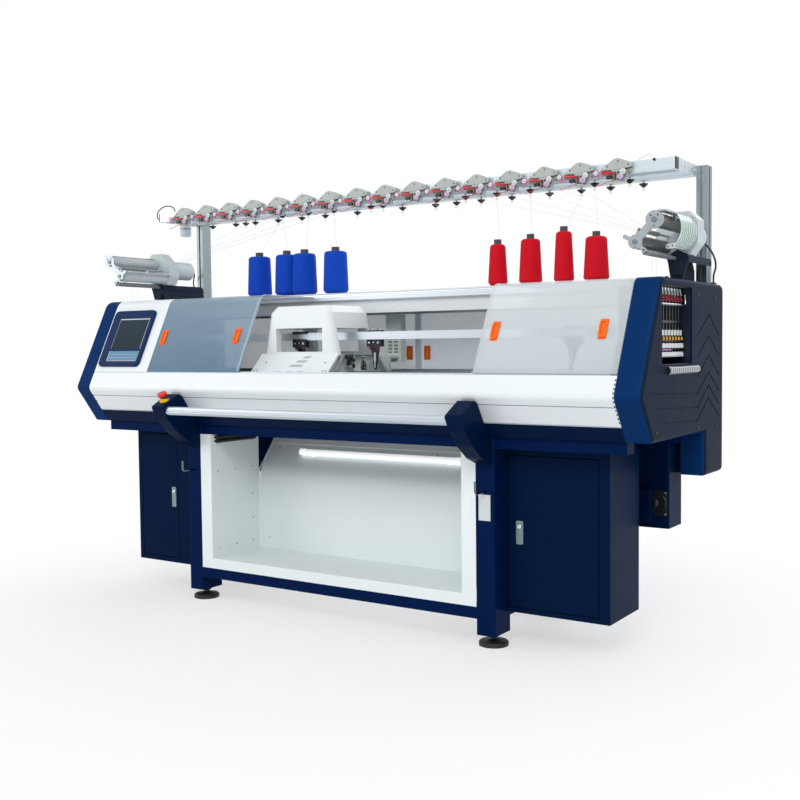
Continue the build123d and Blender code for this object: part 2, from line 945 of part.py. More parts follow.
# Carriage rails: a rail beside each bed, on posts from the machine bed.
rail_down = 222.0
rail_off = 70.0
rail_size = 22.0
shoe_wall = 8.0
with BuildPart() as carriage_rails:
    for side in (-1, 1):
        bed_block(side, rail_half, rail_down, rail_down + rail_size, rail_off, rail_off + rail_size)
keep(carriage_rails.part, "carriage_rails")

# Carriage cover: the arch over the beds and the two sloping plates, one casting.
front_opening = (-300.0, -60.0, 1072.0, 1168.0)
arch_base = 1056.0
with BuildPart() as carriage_cover:
    for height, half in ((arch_base, arch_base_half), (arch_side_top, arch_top_half)):
        with BuildSketch(Plane.XY.offset(height)):
            with Locations((carriage_x, centre_y)):
                RectangleRounded(2 * half, 2 * arch_half, 30)
    loft()
    with BuildSketch(Plane.XY.offset(arch_side_top)):
        with Locations((carriage_x, centre_y)):
            RectangleRounded(2 * arch_top_half, 2 * arch_half, 30)
    with BuildSketch(Plane.XY.offset(arch_crown)):
        with Locations((carriage_x, centre_y)):
            RectangleRounded(2 * arch_top_half - 44, 2 * arch_half - 44, 20)
    loft()
    x0, x1, z0, z1 = front_opening
    plate_low = plate_height - plate_thick
    for side in (-1, 1):
        bed_block(side, plate_half, plate_start, plate_end, plate_low, plate_height, carriage_x)
    block(
        carriage_x - plate_half - 1,
        carriage_x + plate_half + 1,
        centre_y - arch_half + arch_wall,
        centre_y + arch_half - arch_wall,
        arch_base - 30,
        tunnel_top,
        mode=Mode.SUBTRACT,
    )
    block(x0, x1, centre_y - arch_half - 1, centre_y + arch_half + 1, z0, z1, mode=Mode.SUBTRACT)
    vent_middle = Plane(
        origin=(0, *bed_point(-1, (plate_start + plate_end) / 2, plate_height)),
        x_dir=(1, 0, 0),
        z_dir=(0, -1, 1),
    )
    with BuildSketch(vent_middle):
        with Locations((carriage_x - 60, -28), (carriage_x, -28), (carriage_x + 60, -28)):
            SlotOverall(34, 7)
    extrude(amount=-4, mode=Mode.SUBTRACT)
keep(carriage_cover.part, "carriage_cover")

# Cam boxes: the mechanism boxes under the plates, one over each bed.
cam_gap = 1.0
rear_box_x = (-66.0, 12.0)
rear_box_y = (258.0, 300.0)
rear_box_z = (1022.0, 1228.0)
box_arm_x = (-60.0, 0.0)
box_arm_y = (185.0, 198.0)
box_arm_low = 897.0
box_arm_top = 1050.0
box_arm_thick = 10.0
with BuildPart() as cam_boxes:
    for side in (-1, 1):
        bed_block(
            side,
            plate_half - 16,
            plate_start + 5,
            plate_end - 6,
            cam_gap,
            plate_height - plate_thick,
            carriage_x,
        )
        bed_block(
            side,
            plate_half - 15,
            rail_down - shoe_wall,
            rail_down + rail_size + shoe_wall,
            rail_off - shoe_wall,
            rail_off + rail_size + shoe_wall,
            carriage_x,
        )
        bed_block(
            side,
            plate_half - 40,
            plate_end - 10,
            rail_down + rail_size + shoe_wall,
            rail_off + rail_size + shoe_wall - 1,
            rail_off + rail_size + 28,
            carriage_x,
        )
        bed_block(
            side,
            plate_half + 1,
            rail_down - slide_gap,
            rail_down + rail_size + slide_gap,
            rail_off - slide_gap,
            rail_off + rail_size + slide_gap,
            carriage_x,
            Mode.SUBTRACT,
        )
    block(*box_arm_x, *box_arm_y, box_arm_low, box_arm_top)
    block(*box_arm_x, box_arm_y[0], rear_box_y[0] + 1, box_arm_top - box_arm_thick, box_arm_top)
    block(*rear_box_x, *rear_box_y, *rear_box_z)
    fillet(cam_boxes.edges().filter_by(Axis.Z).group_by(Axis.Y)[-1], 6)
    with BuildSketch(Plane.XZ.offset(-rear_box_y[0])):
        with Locations((sum(rear_box_x) / 2, rear_box_z[0] + 100)):
            with GridLocations(30, 16, 2, 7):
                Rectangle(20, 9)
    extrude(amount=-2, mode=Mode.SUBTRACT)
keep(cam_boxes.part, "cam_boxes")

# Carrier rails between the side frames, and the yarn carriers that run on them.
with BuildPart() as carrier_rails:
    for place in (-1, 0, 1):
        y = centre_y + place * carrier_pitch
        block(
            -pocket_in,
            pocket_in,
            y - carrier_rail_thick / 2,
            y + carrier_rail_thick / 2,
            carrier_rail_low,
            carrier_rail_high,
        )
keep(carrier_rails.part, "carrier_rails")

carrier_half = 34.0
carrier_depth = 13.0
tip_pitch = 12.0
tip_low = 997.0
carrier_low = 1090.0
carrier_lip = 5.0
for number, x in enumerate(carrier_places):
    y = centre_y + (number - 1) * carrier_pitch
    tip_y = centre_y + (number - 1) * tip_pitch
    with BuildPart() as carrier:
        start, end = x - carrier_half, x + carrier_half
        block(start, end, y - carrier_depth, y + carrier_depth, carrier_low, carrier_rail_high + 6)
        block(
            start - 1,
            end + 1,
            y - carrier_rail_thick / 2 - slide_gap,
            y + carrier_rail_thick / 2 + slide_gap,
            carrier_rail_low - slide_gap,
            carrier_rail_high + slide_gap,
            mode=Mode.SUBTRACT,
        )
        block(
            start - 1,
            end + 1,
            y - carrier_depth - 1,
            y - carrier_rail_thick / 2,
            carrier_rail_low + carrier_lip,
            carrier_rail_high - carrier_lip,
            mode=Mode.SUBTRACT,
        )
        block(x - 20, x + 20, y - 4, y + 4, carrier_rail_high, carrier_rail_high + 7, mode=Mode.SUBTRACT)
        with BuildSketch(Plane.XY.offset(carrier_low)):
            with Locations((x, y)):
                Rectangle(40, 8)
        with BuildSketch(Plane.XY.offset(tip_low)):
            with Locations((x, tip_y)):
                Rectangle(8, 5)
        loft()
    keep(carrier.part, f"yarn_carrier_{number + 1}")

# Take-down rollers: a pair that pulls the knitted piece down under the beds.
for name, side in (("take_down_roller_front", -1), ("take_down_roller_rear", 1)):
    with BuildPart() as roller:
        start = (-bed_half + 4, centre_y + side * take_down_off, take_down_z)
        rod(start, (1, 0, 0), 2 * roller_radius, 2 * bed_half - 8)
        start = (-bed_half - 14, centre_y + side * take_down_off, take_down_z)
        rod(start, (1, 0, 0), journal, 2 * bed_half + 28)
    keep(roller.part, name)

# Drive: a toothed belt behind the beds, its two pulleys and the motor.
belt_y = (203.0, 219.0)
belt_z = (880.0, 930.0)
pulley_x = 1150.0
belt_thick = 3.0
with BuildPart() as drive_belt:
    with BuildSketch(Plane.XZ.offset(-belt_y[0])):
        SlotOverall(2 * pulley_x + 50, belt_z[1] - belt_z[0])
        offset(amount=-belt_thick, mode=Mode.SUBTRACT)
    extrude(amount=-(belt_y[1] - belt_y[0]))
drive_belt.part.locate(Location((0, 0, sum(belt_z) / 2)))
keep(drive_belt.part, "drive_belt")

with BuildPart() as drive_motor:
    for side in (-1, 1):
        x = side * (pulley_x + 25 - (belt_z[1] - belt_z[0]) / 2)
        z = sum(belt_z) / 2
        rod((x, belt_y[0] - 2, z), (0, 1, 0), belt_z[1] - belt_z[0] - 2 * belt_thick - 0.4, 20)
        rod((x, belt_y[1] + 1, z), (0, 1, 0), 14, 40)
        low, high = sorted((side * (abs(x) - 30), side * plate_in))
        block(low, high, belt_y[1] + 30, belt_y[1] + 38, z - 45, z + 45)
    block(pulley_x - 50, pulley_x + 50, belt_y[1] + 38, belt_y[1] + 150, z - 50, z + 50)
keep(drive_motor.part, "drive_motor")

# Support arms, from the front legs out to the start bar.
arm_tip = (-488.4, 850.0)
arm_heel = (-395.0, 900.0)
arm_points = [
    (leg_front, 667.0),
    (-338.0, 693.0),
    (-412.0, 746.0),
    (-457.0, 796.0),
    arm_tip,
    arm_heel,
    (skin_y(890.0) - 4, 890.0),
    (-282.0, 752.0),
    (leg_front, 752.0),
]
arm_radii = (0, 60, 60, 60, 10, 8, 2, 4, 0)
pin_size = 8.0
with BuildPart() as support_arms:
    for side in (-1, 1):
        low = arm_in if side > 0 else -arm_in - arm_width
        extrude(outline(Plane.YZ.offset(low), arm_points, arm_radii), amount=arm_width)
    rod((-arm_in - 20, bar_y, bar_z), (1, 0, 0), pin_size + 2 * seam, 2 * arm_in + 40, mode=Mode.SUBTRACT)
keep(support_arms.part, "support_arms")

# Start bar: a long ribbed bar that tilts on its end pins.
with BuildPart() as start_bar:
    with BuildSketch(Plane.YZ.offset(-arm_in + 1.5)):
        with Locations((bar_y, bar_z)):
            Ellipse(11, 17.5)
        with Locations((bar_y - 10.2, bar_z + 6), (bar_y - 10.2, bar_z - 6)):
            Circle(2.2)
    extrude(amount=2 * arm_in - 3)
    rod((-arm_in - 17, bar_y, bar_z), (1, 0, 0), pin_size, 2 * arm_in + 34)
keep(start_bar.part, "start_bar")

# Emergency stop on the left arm: a collar with a ring, and its push head.
stop_x = -711.0
ring_height = 4.0
collar_height = 12.0
stem_radius = 6.0
stop_lift = stop_travel + 1.0
facet_y = arm_heel[0] - arm_tip[0]
facet_z = arm_heel[1] - arm_tip[1]
stop_plane = Plane(
    origin=(stop_x, (arm_tip[0] + arm_heel[0]) / 2, (arm_tip[1] + arm_heel[1]) / 2),
    x_dir=(1, 0, 0),
    z_dir=(0, -facet_z, facet_y),
)
with BuildPart() as stop_button_base:
    with BuildSketch(stop_plane):
        Circle(22)
    extrude(amount=ring_height)
    with BuildSketch(stop_plane.offset(ring_height)):
        Circle(15)
    extrude(amount=collar_height)
    with BuildSketch(stop_plane.offset(ring_height)):
        Circle(stem_radius + slide_gap)
    extrude(amount=collar_height + 2, mode=Mode.SUBTRACT)
keep(stop_button_base.part, "stop_button_base")

with BuildPart() as stop_button:
    with BuildSketch(stop_plane.offset(ring_height + stop_lift)):
        Circle(stem_radius)
    extrude(amount=20)
    with BuildSketch(stop_plane.offset(ring_height + collar_height + stop_lift)):
        Circle(20)
    extrude(amount=14)
    fillet(stop_button.edges().filter_by(GeomType.CIRCLE).group_by(SortBy.RADIUS)[-1], 4)
keep(stop_button.part, "stop_button")

# Yarn posts: slotted aluminium extrusions, each on a block bolted to its side frame.
post_low = 1100.0
slot_mouth = 9.0
slot_depth = 16.0
post_slots = (
    (0.0, post_depth / 2, slot_mouth, slot_depth),
    (0.0, -post_depth / 2, slot_mouth, slot_depth),
    (post_width / 2, 0.0, slot_depth, slot_mouth),
)
post_block = 150.0
with BuildPart() as yarn_posts:
    with BuildSketch(Plane.XY.offset(post_low)):
        with Locations((post_in + post_width / 2, post_y + post_depth / 2)):
            Rectangle(post_width, post_depth)
            Circle(8, mode=Mode.SUBTRACT)
        for along, across, width, depth in post_slots:
            with Locations((post_in + post_width / 2 + along, post_y + post_depth / 2 + across)):
                Rectangle(width, depth, mode=Mode.SUBTRACT)
    extrude(amount=post_top - post_low)
    block(cover_in, post_in, post_y + 8, post_y + post_depth - 8, post_low, post_low + post_block)
    mirror(about=Plane.YZ)
keep(yarn_posts.part, "yarn_posts")

# Yarn rail: three channels between the posts, with eyelet discs under the rear two.
rail_left = -1319.0
rail_right = 1271.6
channel_wall = 3.0
cross_thick = 10.0
disc_diameter = 34.0
middle_disc_y = middle_channel_y + middle_channel_depth / 2
rear_disc_y = stand_rear - rear_channel_depth / 2
middle_discs = (-614.0, -462.0, -317.0, -114.0, -51.0, 221.0, 360.0, 505.0, 654.0, 925.0, 1065.0)
rear_discs = (
    -1173.0, -1017.0, -953.0, -891.0, -747.0, -601.0, -463.0, -279.0, -34.0,
    137.0, 242.0, 362.0, 507.0, 677.0, 815.0, 938.0, 1071.0,
)
with BuildPart() as yarn_rail:
    for y, depth in (
        (stand_front, front_channel_depth),
        (middle_channel_y, middle_channel_depth),
        (stand_rear - rear_channel_depth, rear_channel_depth),
    ):
        block(rail_left, rail_right, y, y + depth, stand_low, post_top)
        block(
            rail_left - 1,
            rail_right + 1,
            y + channel_wall,
            y + depth - channel_wall,
            stand_low + channel_wall,
            post_top - channel_wall,
            mode=Mode.SUBTRACT,
        )
    cross_pitch = (rail_right - rail_left - cross_thick) / 4
    for i in range(5):
        x = rail_left + cross_pitch * i
        block(x, x + cross_thick, stand_front, stand_rear, stand_low, post_top)
    with BuildSketch(Plane.XZ) as disc_section:
        with BuildLine():
            Polyline(
                (0, stand_low + 1),
                (4, stand_low + 1),
                (4, stand_low - 7),
                (disc_diameter / 2, stand_low - 9),
                (disc_diameter / 2, stand_low - 12),
                (5, stand_low - 23),
                (0, stand_low - 23),
                close=True,
            )
        make_face()
    disc = revolve(disc_section.sketch, axis=Axis.Z, mode=Mode.PRIVATE)
    for y, places in ((middle_disc_y, middle_discs), (rear_disc_y, rear_discs)):
        for x in places:
            with Locations((x, y, 0)):
                add(disc)
keep(yarn_rail.part, "yarn_rail")

# Tension units: a humped cover hooked over the front channel, its plate, springs and discs.
hump = [
    (-unit_width / 2, -unit_drop),
    (-unit_width / 2 + 3, -unit_drop + 8),
    (-unit_width / 2 + 52, unit_rise - 2),
    (-unit_width / 2 + 68, unit_rise),
    (unit_width / 2, -6),
    (unit_width / 2, -unit_drop + 6),
    (unit_width / 2 - 40, -unit_drop),
]
hump_radii = (0, 3, 8, 10, 4, 3, 0)
hump_edge = 2.0
unit_plate = 7.0
spring_diameter = 9.0
spring_low = 66.0
spring_places = (-10.0, 2.0, 14.0)
spring_bar = (-16.0, 20.0)
disc_places = ((-75.0, -35.0, 20.0), (19.0, -54.0, 22.0), (29.0, -37.0, 22.0))
with BuildPart() as tension_unit:
    unit_back = stand_front - seam
    base = Plane(origin=(0, unit_hook + unit_back, post_top), x_dir=(1, 0, 0), z_dir=(0, -1, 0))
    extrude(outline(base, hump, hump_radii), amount=unit_back + unit_hook - unit_y)
    chamfer(tension_unit.faces().sort_by(Axis.Y)[0].edges(), hump_edge)
    block(
        -unit_width,
        unit_width,
        unit_back,
        unit_back + unit_hook + 1,
        post_top - unit_drop - 1,
        post_top + seam,
        mode=Mode.SUBTRACT,
    )
    plate_back_y = unit_back - unit_plate
    bar_low = post_top - spring_low - 4
    block(-84, unit_width / 2, plate_back_y, unit_back, post_top - 46, post_top - unit_drop + 2)
    block(*spring_bar, unit_back - 18, unit_back, post_top - 34, post_top - unit_drop + 1)
    block(*spring_bar, unit_back - 18, unit_back, bar_low, post_top - spring_low)
    block(spring_bar[0], spring_bar[1] + 16, plate_back_y, unit_back, bar_low, post_top - 40)
    for x in spring_places:
        rod((x, unit_back - 12, post_top - 33), (0, 0, -1), spring_diameter, spring_low - 32)
    for x, z, diameter in disc_places:
        rod((x, unit_back - unit_plate + 1, post_top + z), (0, -1, 0), 7, 20)
        rod((x, unit_back - 20, post_top + z), (0, -1, 0), diameter, 4)
tension_units = Compound(
    children=[
        tension_unit.part.moved(Location((unit_first + unit_pitch * i, 0, 0)))
        for i in range(unit_count)
    ]
)
keep(tension_units, "tension_units")

# Yarn packages on their tubes, standing on the table.
def package(x, foot, shoulder, height, bore):
    """The yarn wound on a tube: a chamfered foot, a slight taper and a round shoulder."""
    upright = Plane(origin=(x, cone_y, table_top), x_dir=(1, 0, 0), z_dir=(0, -1, 0))
    with BuildPart() as yarn:
        with BuildSketch(upright) as half:
            with BuildLine():
                Polyline(
                    (bore / 2, 4),
                    (foot / 2 - 10, 4),
                    (foot / 2, 16),
                    (shoulder / 2, height),
                    (bore / 2, height),
                    close=True,
                )
            make_face()
            fillet(half.vertices().sort_by_distance((shoulder / 2, height, 0))[0], 14)
        revolve(half.sketch, axis=Axis((x, cone_y, 0), (0, 0, 1)))
    return yarn.part


def tube(x, diameter, height):
    """The tube of a yarn package."""
    with BuildPart() as core:
        with BuildSketch(Plane.XY.offset(table_top)):
            with Locations((x, cone_y)):
                Circle(diameter / 2)
                Circle(diameter / 2 - tube_wall, mode=Mode.SUBTRACT)
        extrude(amount=height)
    return core.part


packages = []
tubes = []
for x in blue_cones:
    foot, shoulder, height, tube_diameter, tube_height = blue_size
    packages.append(package(x, foot, shoulder, height, tube_diameter))
    tubes.append(tube(x, tube_diameter, tube_height))
for x, foot, shoulder, height in red_cones:
    packages.append(package(x, foot, shoulder, height, red_tube))
    tubes.append(tube(x, red_tube, height + red_tube_rise))
keep(Compound(children=packages), "yarn_packages")
keep(Compound(children=tubes), "cone_tubes")

# Feeder mounts: folded brackets with a tapered foot on the cover and the tail on the post.
mount_x = (cover_in + 9, cover_in + 83)
mount_foot_x = (cover_in + 26, cover_in + 58)
mount_wall = 4.0
with BuildPart() as feeder_mounts:
    mount_outline = [
        (housing_front + 10, cover_top),
        (housing_front + 50, cover_top),
        (housing_front + 95, mount_arch),
        (post_y - seam, mount_arch),
        (post_y - seam, mount_top - 30),
        (post_y - 26, mount_top),
        (housing_front, mount_top),
    ]
    extrude(
        outline(Plane.YZ.offset(mount_x[0]), mount_outline, (0, 10, 40, 0, 12, 12, 0)),
        amount=mount_x[1] - mount_x[0],
    )
    block(
        mount_x[0] + mount_wall,
        mount_x[1] - mount_wall,
        housing_front + 10 + 2 * mount_wall,
        post_y,
        cover_top - 1,
        mount_top - mount_wall,
        mode=Mode.SUBTRACT,
    )
    for edge, foot in zip(mount_x, mount_foot_x):
        away = 2 if edge > foot else -2
        face = Plane(origin=(0, post_y, 0), x_dir=(1, 0, 0), z_dir=(0, -1, 0))
        wedge = outline(
            face,
            [
                (edge + away, cover_top - 1),
                (foot, cover_top - 1),
                (edge - away / 2, mount_top - 16),
                (edge + away, mount_top - 16),
            ],
        )
        extrude(wedge, amount=post_y - housing_front + 1, mode=Mode.SUBTRACT)
    mirror(about=Plane.YZ)
keep(feeder_mounts.part, "feeder_mounts")

# Feeder housings: a many-sided gear case with the motor behind it.
upper_x, upper_z = upper_roller
lower_x, lower_z = lower_roller
housing_near = lower_x - 34
housing_far = upper_x + 56
housing_outline = [
    (housing_near, lower_z + 12),
    (lower_x - 14, mount_top),
    (upper_x + 28, mount_top),
    (housing_far, mount_top + 36),
    (housing_far, upper_z + 23),
    (upper_x + 24, housing_top),
    (upper_x - 32, housing_top),
    (housing_near, lower_z + 62),
]
with BuildPart() as feeder_housings:
    face_plane = Plane(origin=(0, housing_back, 0), x_dir=(1, 0, 0), z_dir=(0, -1, 0))
    extrude(outline(face_plane, housing_outline, [8] * 8), amount=housing_back - housing_front)
    fillet(feeder_housings.faces().sort_by(Axis.Y)[0].edges(), 4)
    rod((motor_x, housing_back - 1, motor_z), (0, 1, 0), motor_diameter, 141)
    rod((motor_x, housing_back + 139, motor_z), (0, 1, 0), motor_diameter - 18, 12)
    for x, z in (upper_roller, lower_roller):
        rod((x, housing_front - 1, z), (0, 1, 0), journal + 2 * seam, 15, mode=Mode.SUBTRACT)
    mirror(about=Plane.YZ)
keep(feeder_housings.part, "feeder_housings")

# Feeder rollers: each turns on its journals in the housing and the front plate.
plate_front = -195.0
plate_back = -186.0
for side, side_name in ((-1, "left"), (1, "right")):
    for level, (x, z) in (("upper", upper_roller), ("lower", lower_roller)):
        with BuildPart() as roller:
            rod((side * x, plate_back + 3, z), (0, 1, 0), roller_diameter, housing_front - plate_back - 6)
            rod((side * x, plate_front + 2, z), (0, 1, 0), journal, housing_front - plate_front + 10)
        keep(roller.part, f"{side_name}_{level}_feeder_roller")

# Feeder guides: the two-lobed front plate, its rods and bars and the curved guide arms.
guide_rods = (
    (lower_x + 15, lower_z + 38),
    (lower_x - 34, lower_z + 18),
    (lower_x + 30, lower_z - 29),
)
guide_rod = 8.0
link_width = 26.0
top_bar_x = (upper_x + 10, upper_x + 38)
top_bar_z = (upper_z + 25, upper_z + 31)
low_bar_x = (upper_x + 14, upper_x + 22)
low_bar_z = (lower_z - 16, lower_z - 8)
arm_count = 9
arm_width = 8.0
arm_first = -80.0
arm_thick = 3.0
arm_foot = (sum(low_bar_x) / 2, sum(low_bar_z) / 2)
arm_bow = (upper_x + 51, upper_z - 27)
arm_head = (top_bar_x[1] - 4, sum(top_bar_z) / 2)


def between(start, end, width):
    """Draw a straight bar between two points of a sketch."""
    run = end[0] - start[0]
    rise = end[1] - start[1]
    with Locations(((start[0] + end[0]) / 2, (start[1] + end[1]) / 2)):
        Rectangle((run**2 + rise**2) ** 0.5, width, rotation=atan(rise / run) * 180 / pi)


with BuildPart() as feeder_guides:
    with BuildSketch(Plane(origin=(0, plate_back, 0), x_dir=(1, 0, 0), z_dir=(0, -1, 0))):
        for (x, z), radius in ((upper_roller, 30), (lower_roller, 24)):
            with Locations((x, z)):
                Circle(radius)
        between(lower_roller, upper_roller, link_width)
        for place in guide_rods:
            between(lower_roller, place, guide_rod + 6)
            with Locations(place):
                Circle(guide_rod)
    extrude(amount=plate_back - plate_front)
    for x, z in (upper_roller, lower_roller):
        rod((x, plate_back + 1, z), (0, -1, 0), journal + 2 * seam, 20, mode=Mode.SUBTRACT)
        rod((x - 4, plate_front + 1, z - 17), (0, -1, 0), 9, 9)
    for x, z in guide_rods:
        rod((x, plate_back - 1, z), (0, 1, 0), guide_rod, housing_front - plate_back + 1)
    block(*top_bar_x, plate_front, housing_front, *top_bar_z)
    block(*low_bar_x, arm_first, housing_front, *low_bar_z)
    outer_foot = (arm_foot[0] + arm_thick, arm_foot[1])
    outer_bow = (arm_bow[0] + arm_thick + 0.5, arm_bow[1])
    outer_head = (arm_head[0] + arm_thick, arm_head[1])
    with BuildSketch(Plane(origin=(0, 0, 0), x_dir=(1, 0, 0), z_dir=(0, -1, 0))) as arm_section:
        with BuildLine():
            ThreePointArc(arm_foot, arm_bow, arm_head)
            Line(arm_head, outer_head)
            ThreePointArc(outer_head, outer_bow, outer_foot)
            Line(outer_foot, arm_foot)
        make_face()
    arm_pitch = (housing_front - arm_first) / arm_count
    for i in range(arm_count):
        y = arm_first + arm_pitch * i + arm_width
        extrude(arm_section.sketch.moved(Location((0, y, 0))), amount=arm_width)
    mirror(about=Plane.YZ)
keep(feeder_guides.part, "feeder_guides")

# Side tensioners: a tray behind each side window with bars, wires and yarn blocks.
tray_wall = 2.0
wire_count = 9
wire_half = 1.5
bead_half = 8.0
bars_in = (32.0, 26.0, 32.0, 26.0, 28.0)
bars_up = (244.0, 204.0, 147.0, 60.0, 32.0)
bars_size = (14.0, 4.0, 9.0, 8.0, 12.0)
with BuildPart() as side_tensioners:
    y0, y1, z0, z1 = side_opening
    cover_face = cover_out - cover_wall
    tray_out = cover_face - seam
    block(pocket_in, tray_out, y0 + seam, y1 - seam, z0 + seam, z1 - seam)
    block(
        pocket_in + tray_wall,
        tray_out + 1,
        y0 + seam + tray_wall,
        y1 - seam - tray_wall,
        z0 + seam + tray_wall,
        z1 - seam - tray_wall,
        mode=Mode.SUBTRACT,
    )
    for inward, height, size in zip(bars_in, bars_up, bars_size):
        x = cover_face - inward
        z = z0 + height
        block(x - size / 2, x + size / 2, y0 + 1, y1 - 1, z - size / 2, z + size / 2)
    wire_pitch = (y1 - y0) / (wire_count + 1)
    for i in range(wire_count):
        y = y0 + wire_pitch * (i + 1)
        x = cover_face - 31.5
        block(x - wire_half, x + wire_half, y - wire_half, y + wire_half, z0 + bars_up[-1], z0 + bars_up[0])
        x = cover_face - 30
        block(x - bead_half, x + bead_half, y - bead_half, y + bead_half, z0 + 94, z0 + 118)
    mirror(about=Plane.YZ)
keep(side_tensioners.part, "side_tensioners")

# Yarn combs: a half-round slotted channel below each side window.
comb_y = (-150.0, 160.0)
comb_z = (985.0, 1014.0)
comb_slots = 16
with BuildPart() as yarn_combs:
    comb_radius = (comb_z[1] - comb_z[0]) / 2
    comb_start = (cover_out, comb_y[0], sum(comb_z) / 2)
    with BuildSketch(Plane(origin=comb_start, x_dir=(1, 0, 0), z_dir=(0, 1, 0))):
        Circle(comb_radius)
        Circle(comb_radius - 2.5, mode=Mode.SUBTRACT)
        with Locations((-comb_radius, 0)):
            Rectangle(2 * comb_radius, 2 * comb_radius, mode=Mode.SUBTRACT)
    extrude(amount=comb_y[1] - comb_y[0])
    slot_pitch = (comb_y[1] - comb_y[0]) / comb_slots
    for i in range(comb_slots):
        y = comb_y[0] + slot_pitch * (i + 0.5)
        block(cover_out + 4, cover_out + 20, y - 4, y + 4, comb_z[0] - 1, comb_z[1] - 6, mode=Mode.SUBTRACT)
    mirror(about=Plane.YZ)
keep(yarn_combs.part, "yarn_combs")


def cord(points, diameter):
    """A cord of straight runs and the largest tangent arcs that they allow."""
    corners = [Vector(*point) for point in points]
    radii = []
    for before, here, after in zip(corners, corners[1:], corners[2:]):
        run_in = here - before
        run_out = after - here
        turn = run_in.get_angle(run_out) * pi / 180
        radii.append(0.45 * min(run_in.length, run_out.length) / tan(turn / 2))
    print("cord radii", [round(radius, 1) for radius in radii])
    with BuildPart() as tube_part:
        with BuildLine() as route:
            FilletPolyline(*points, radius=radii)
        start = corners[1] - corners[0]
        with BuildSketch(Plane(origin=corners[0], z_dir=start)):
            Circle(diameter / 2)
        sweep(path=route.line)
    length = sum(edge.length for edge in route.edges())
    share = tube_part.part.volume / (pi * diameter**2 / 4 * length)
    print("cord length", round(length, 1), "volume share", round(share, 4))
    return tube_part.part


# Cables: one from each feeder motor into its cover, and a loop at the rail's left end.
feeder_cable = 7.0
loop_cable = 5.0
feeder_route = [
    (motor_x, 301.0, motor_z),
    (motor_x, 325.0, motor_z),
    (1300.0, 346.0, 1467.0),
    (1317.0, 358.0, 1449.0),
    (1332.0, 368.0, 1424.0),
    (1339.0, 382.0, 1396.0),
    (1335.0, 400.0, 1370.0),
    (1321.0, 416.0, 1347.0),
    (1321.0, 416.0, cover_top),
]
loop_y = stand_front + front_channel_depth / 2
loop_route = [
    (-1226.0, loop_y, post_top),
    (-1226.0, loop_y, post_top + 14.2),
    (-1237.0, loop_y, post_top + 25.2),
    (-1257.0, loop_y, post_top + 33.2),
    (-1285.0, loop_y, post_top + 36.2),
    (-1314.0, loop_y, post_top + 30.2),
    (-1338.0, loop_y, post_top + 16.2),
    (-1349.0, loop_y, post_top - 0.8),
    (-1346.0, loop_y, post_top - 16.8),
    (-1335.0, loop_y, post_top - 27.8),
    (rail_left, loop_y, post_top - 27.8),
]
right_cable = cord(feeder_route, feeder_cable)
loop = cord(loop_route, loop_cable)
keep(Compound(children=[right_cable, mirror(right_cable, about=Plane.YZ), loop]), "feeder_cables")

# Signal lamp under the left end of the rail.
lamp_x = -1236.0
lamp_height = 70.0
lamp_neck = 10.0
lamp_low = stand_low - lamp_height
with BuildPart() as signal_lamp:
    rod((lamp_x, middle_disc_y, lamp_low), (0, 0, 1), 54, lamp_height - lamp_neck)
    fillet(signal_lamp.edges().group_by(Axis.Z)[0], 10)
    rod((lamp_x, middle_disc_y, stand_low - lamp_neck), (0, 0, 1), 28, lamp_neck)
keep(signal_lamp.part, "signal_lamp")

# Control box hung under the rear long beam, with its terminal box.
control_x = (760.0, plate_in - seam)
control_y = (210.0, 350.0)
control_low = 405.0
with BuildPart() as control_box:
    block(*control_x, *control_y, control_low, beam_low)
    fillet(control_box.edges().filter_by(Axis.Z), 6)
    block(1100, 1160, control_y[0] - 34, control_y[0] + 1, 430, 550)
keep(control_box.part, "control_box")
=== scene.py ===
# %% [markdown]
# A flat knitting machine, dressed for its picture.
# The solid pieces come from the imported model, so this lesson adds what they don't have:
# paint, plastic, yarn and metal finishes, and the small pieces that make it look real.
# The first cell loads the frame and keeps its box, which gives the machine's size.

# %% Load the frame
import math
import bpy
from mathutils import Matrix, Vector


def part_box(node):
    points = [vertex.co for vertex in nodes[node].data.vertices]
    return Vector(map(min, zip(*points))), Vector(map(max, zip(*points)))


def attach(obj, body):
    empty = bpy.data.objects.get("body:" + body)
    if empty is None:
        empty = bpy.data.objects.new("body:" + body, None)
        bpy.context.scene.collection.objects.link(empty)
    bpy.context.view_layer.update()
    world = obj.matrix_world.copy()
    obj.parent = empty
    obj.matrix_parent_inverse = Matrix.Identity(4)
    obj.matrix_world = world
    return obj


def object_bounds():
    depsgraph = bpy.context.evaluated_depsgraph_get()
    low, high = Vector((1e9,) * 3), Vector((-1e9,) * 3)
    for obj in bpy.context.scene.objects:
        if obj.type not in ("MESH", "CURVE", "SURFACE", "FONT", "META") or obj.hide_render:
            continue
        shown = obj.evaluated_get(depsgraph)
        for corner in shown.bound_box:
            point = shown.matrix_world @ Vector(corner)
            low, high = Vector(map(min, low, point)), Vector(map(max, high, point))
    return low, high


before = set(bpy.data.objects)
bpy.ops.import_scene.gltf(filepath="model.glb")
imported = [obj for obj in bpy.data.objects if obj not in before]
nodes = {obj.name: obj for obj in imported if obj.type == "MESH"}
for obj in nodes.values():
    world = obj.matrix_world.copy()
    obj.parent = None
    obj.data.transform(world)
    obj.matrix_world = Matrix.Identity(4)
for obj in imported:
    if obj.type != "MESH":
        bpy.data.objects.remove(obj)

cad_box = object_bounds()

# %% [markdown]
# Every later cell asks where a piece is. The frame knows, so a short helper turns a node's
# box into named numbers. Colours are written as they look on screen, from 0 to 255, and a
# second helper turns them into the linear values that shaders use.

# %% Places and colours
def span(node):
    """The lowest and highest corner of a node, as two tuples."""
    low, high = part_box(node)
    return tuple(low), tuple(high)


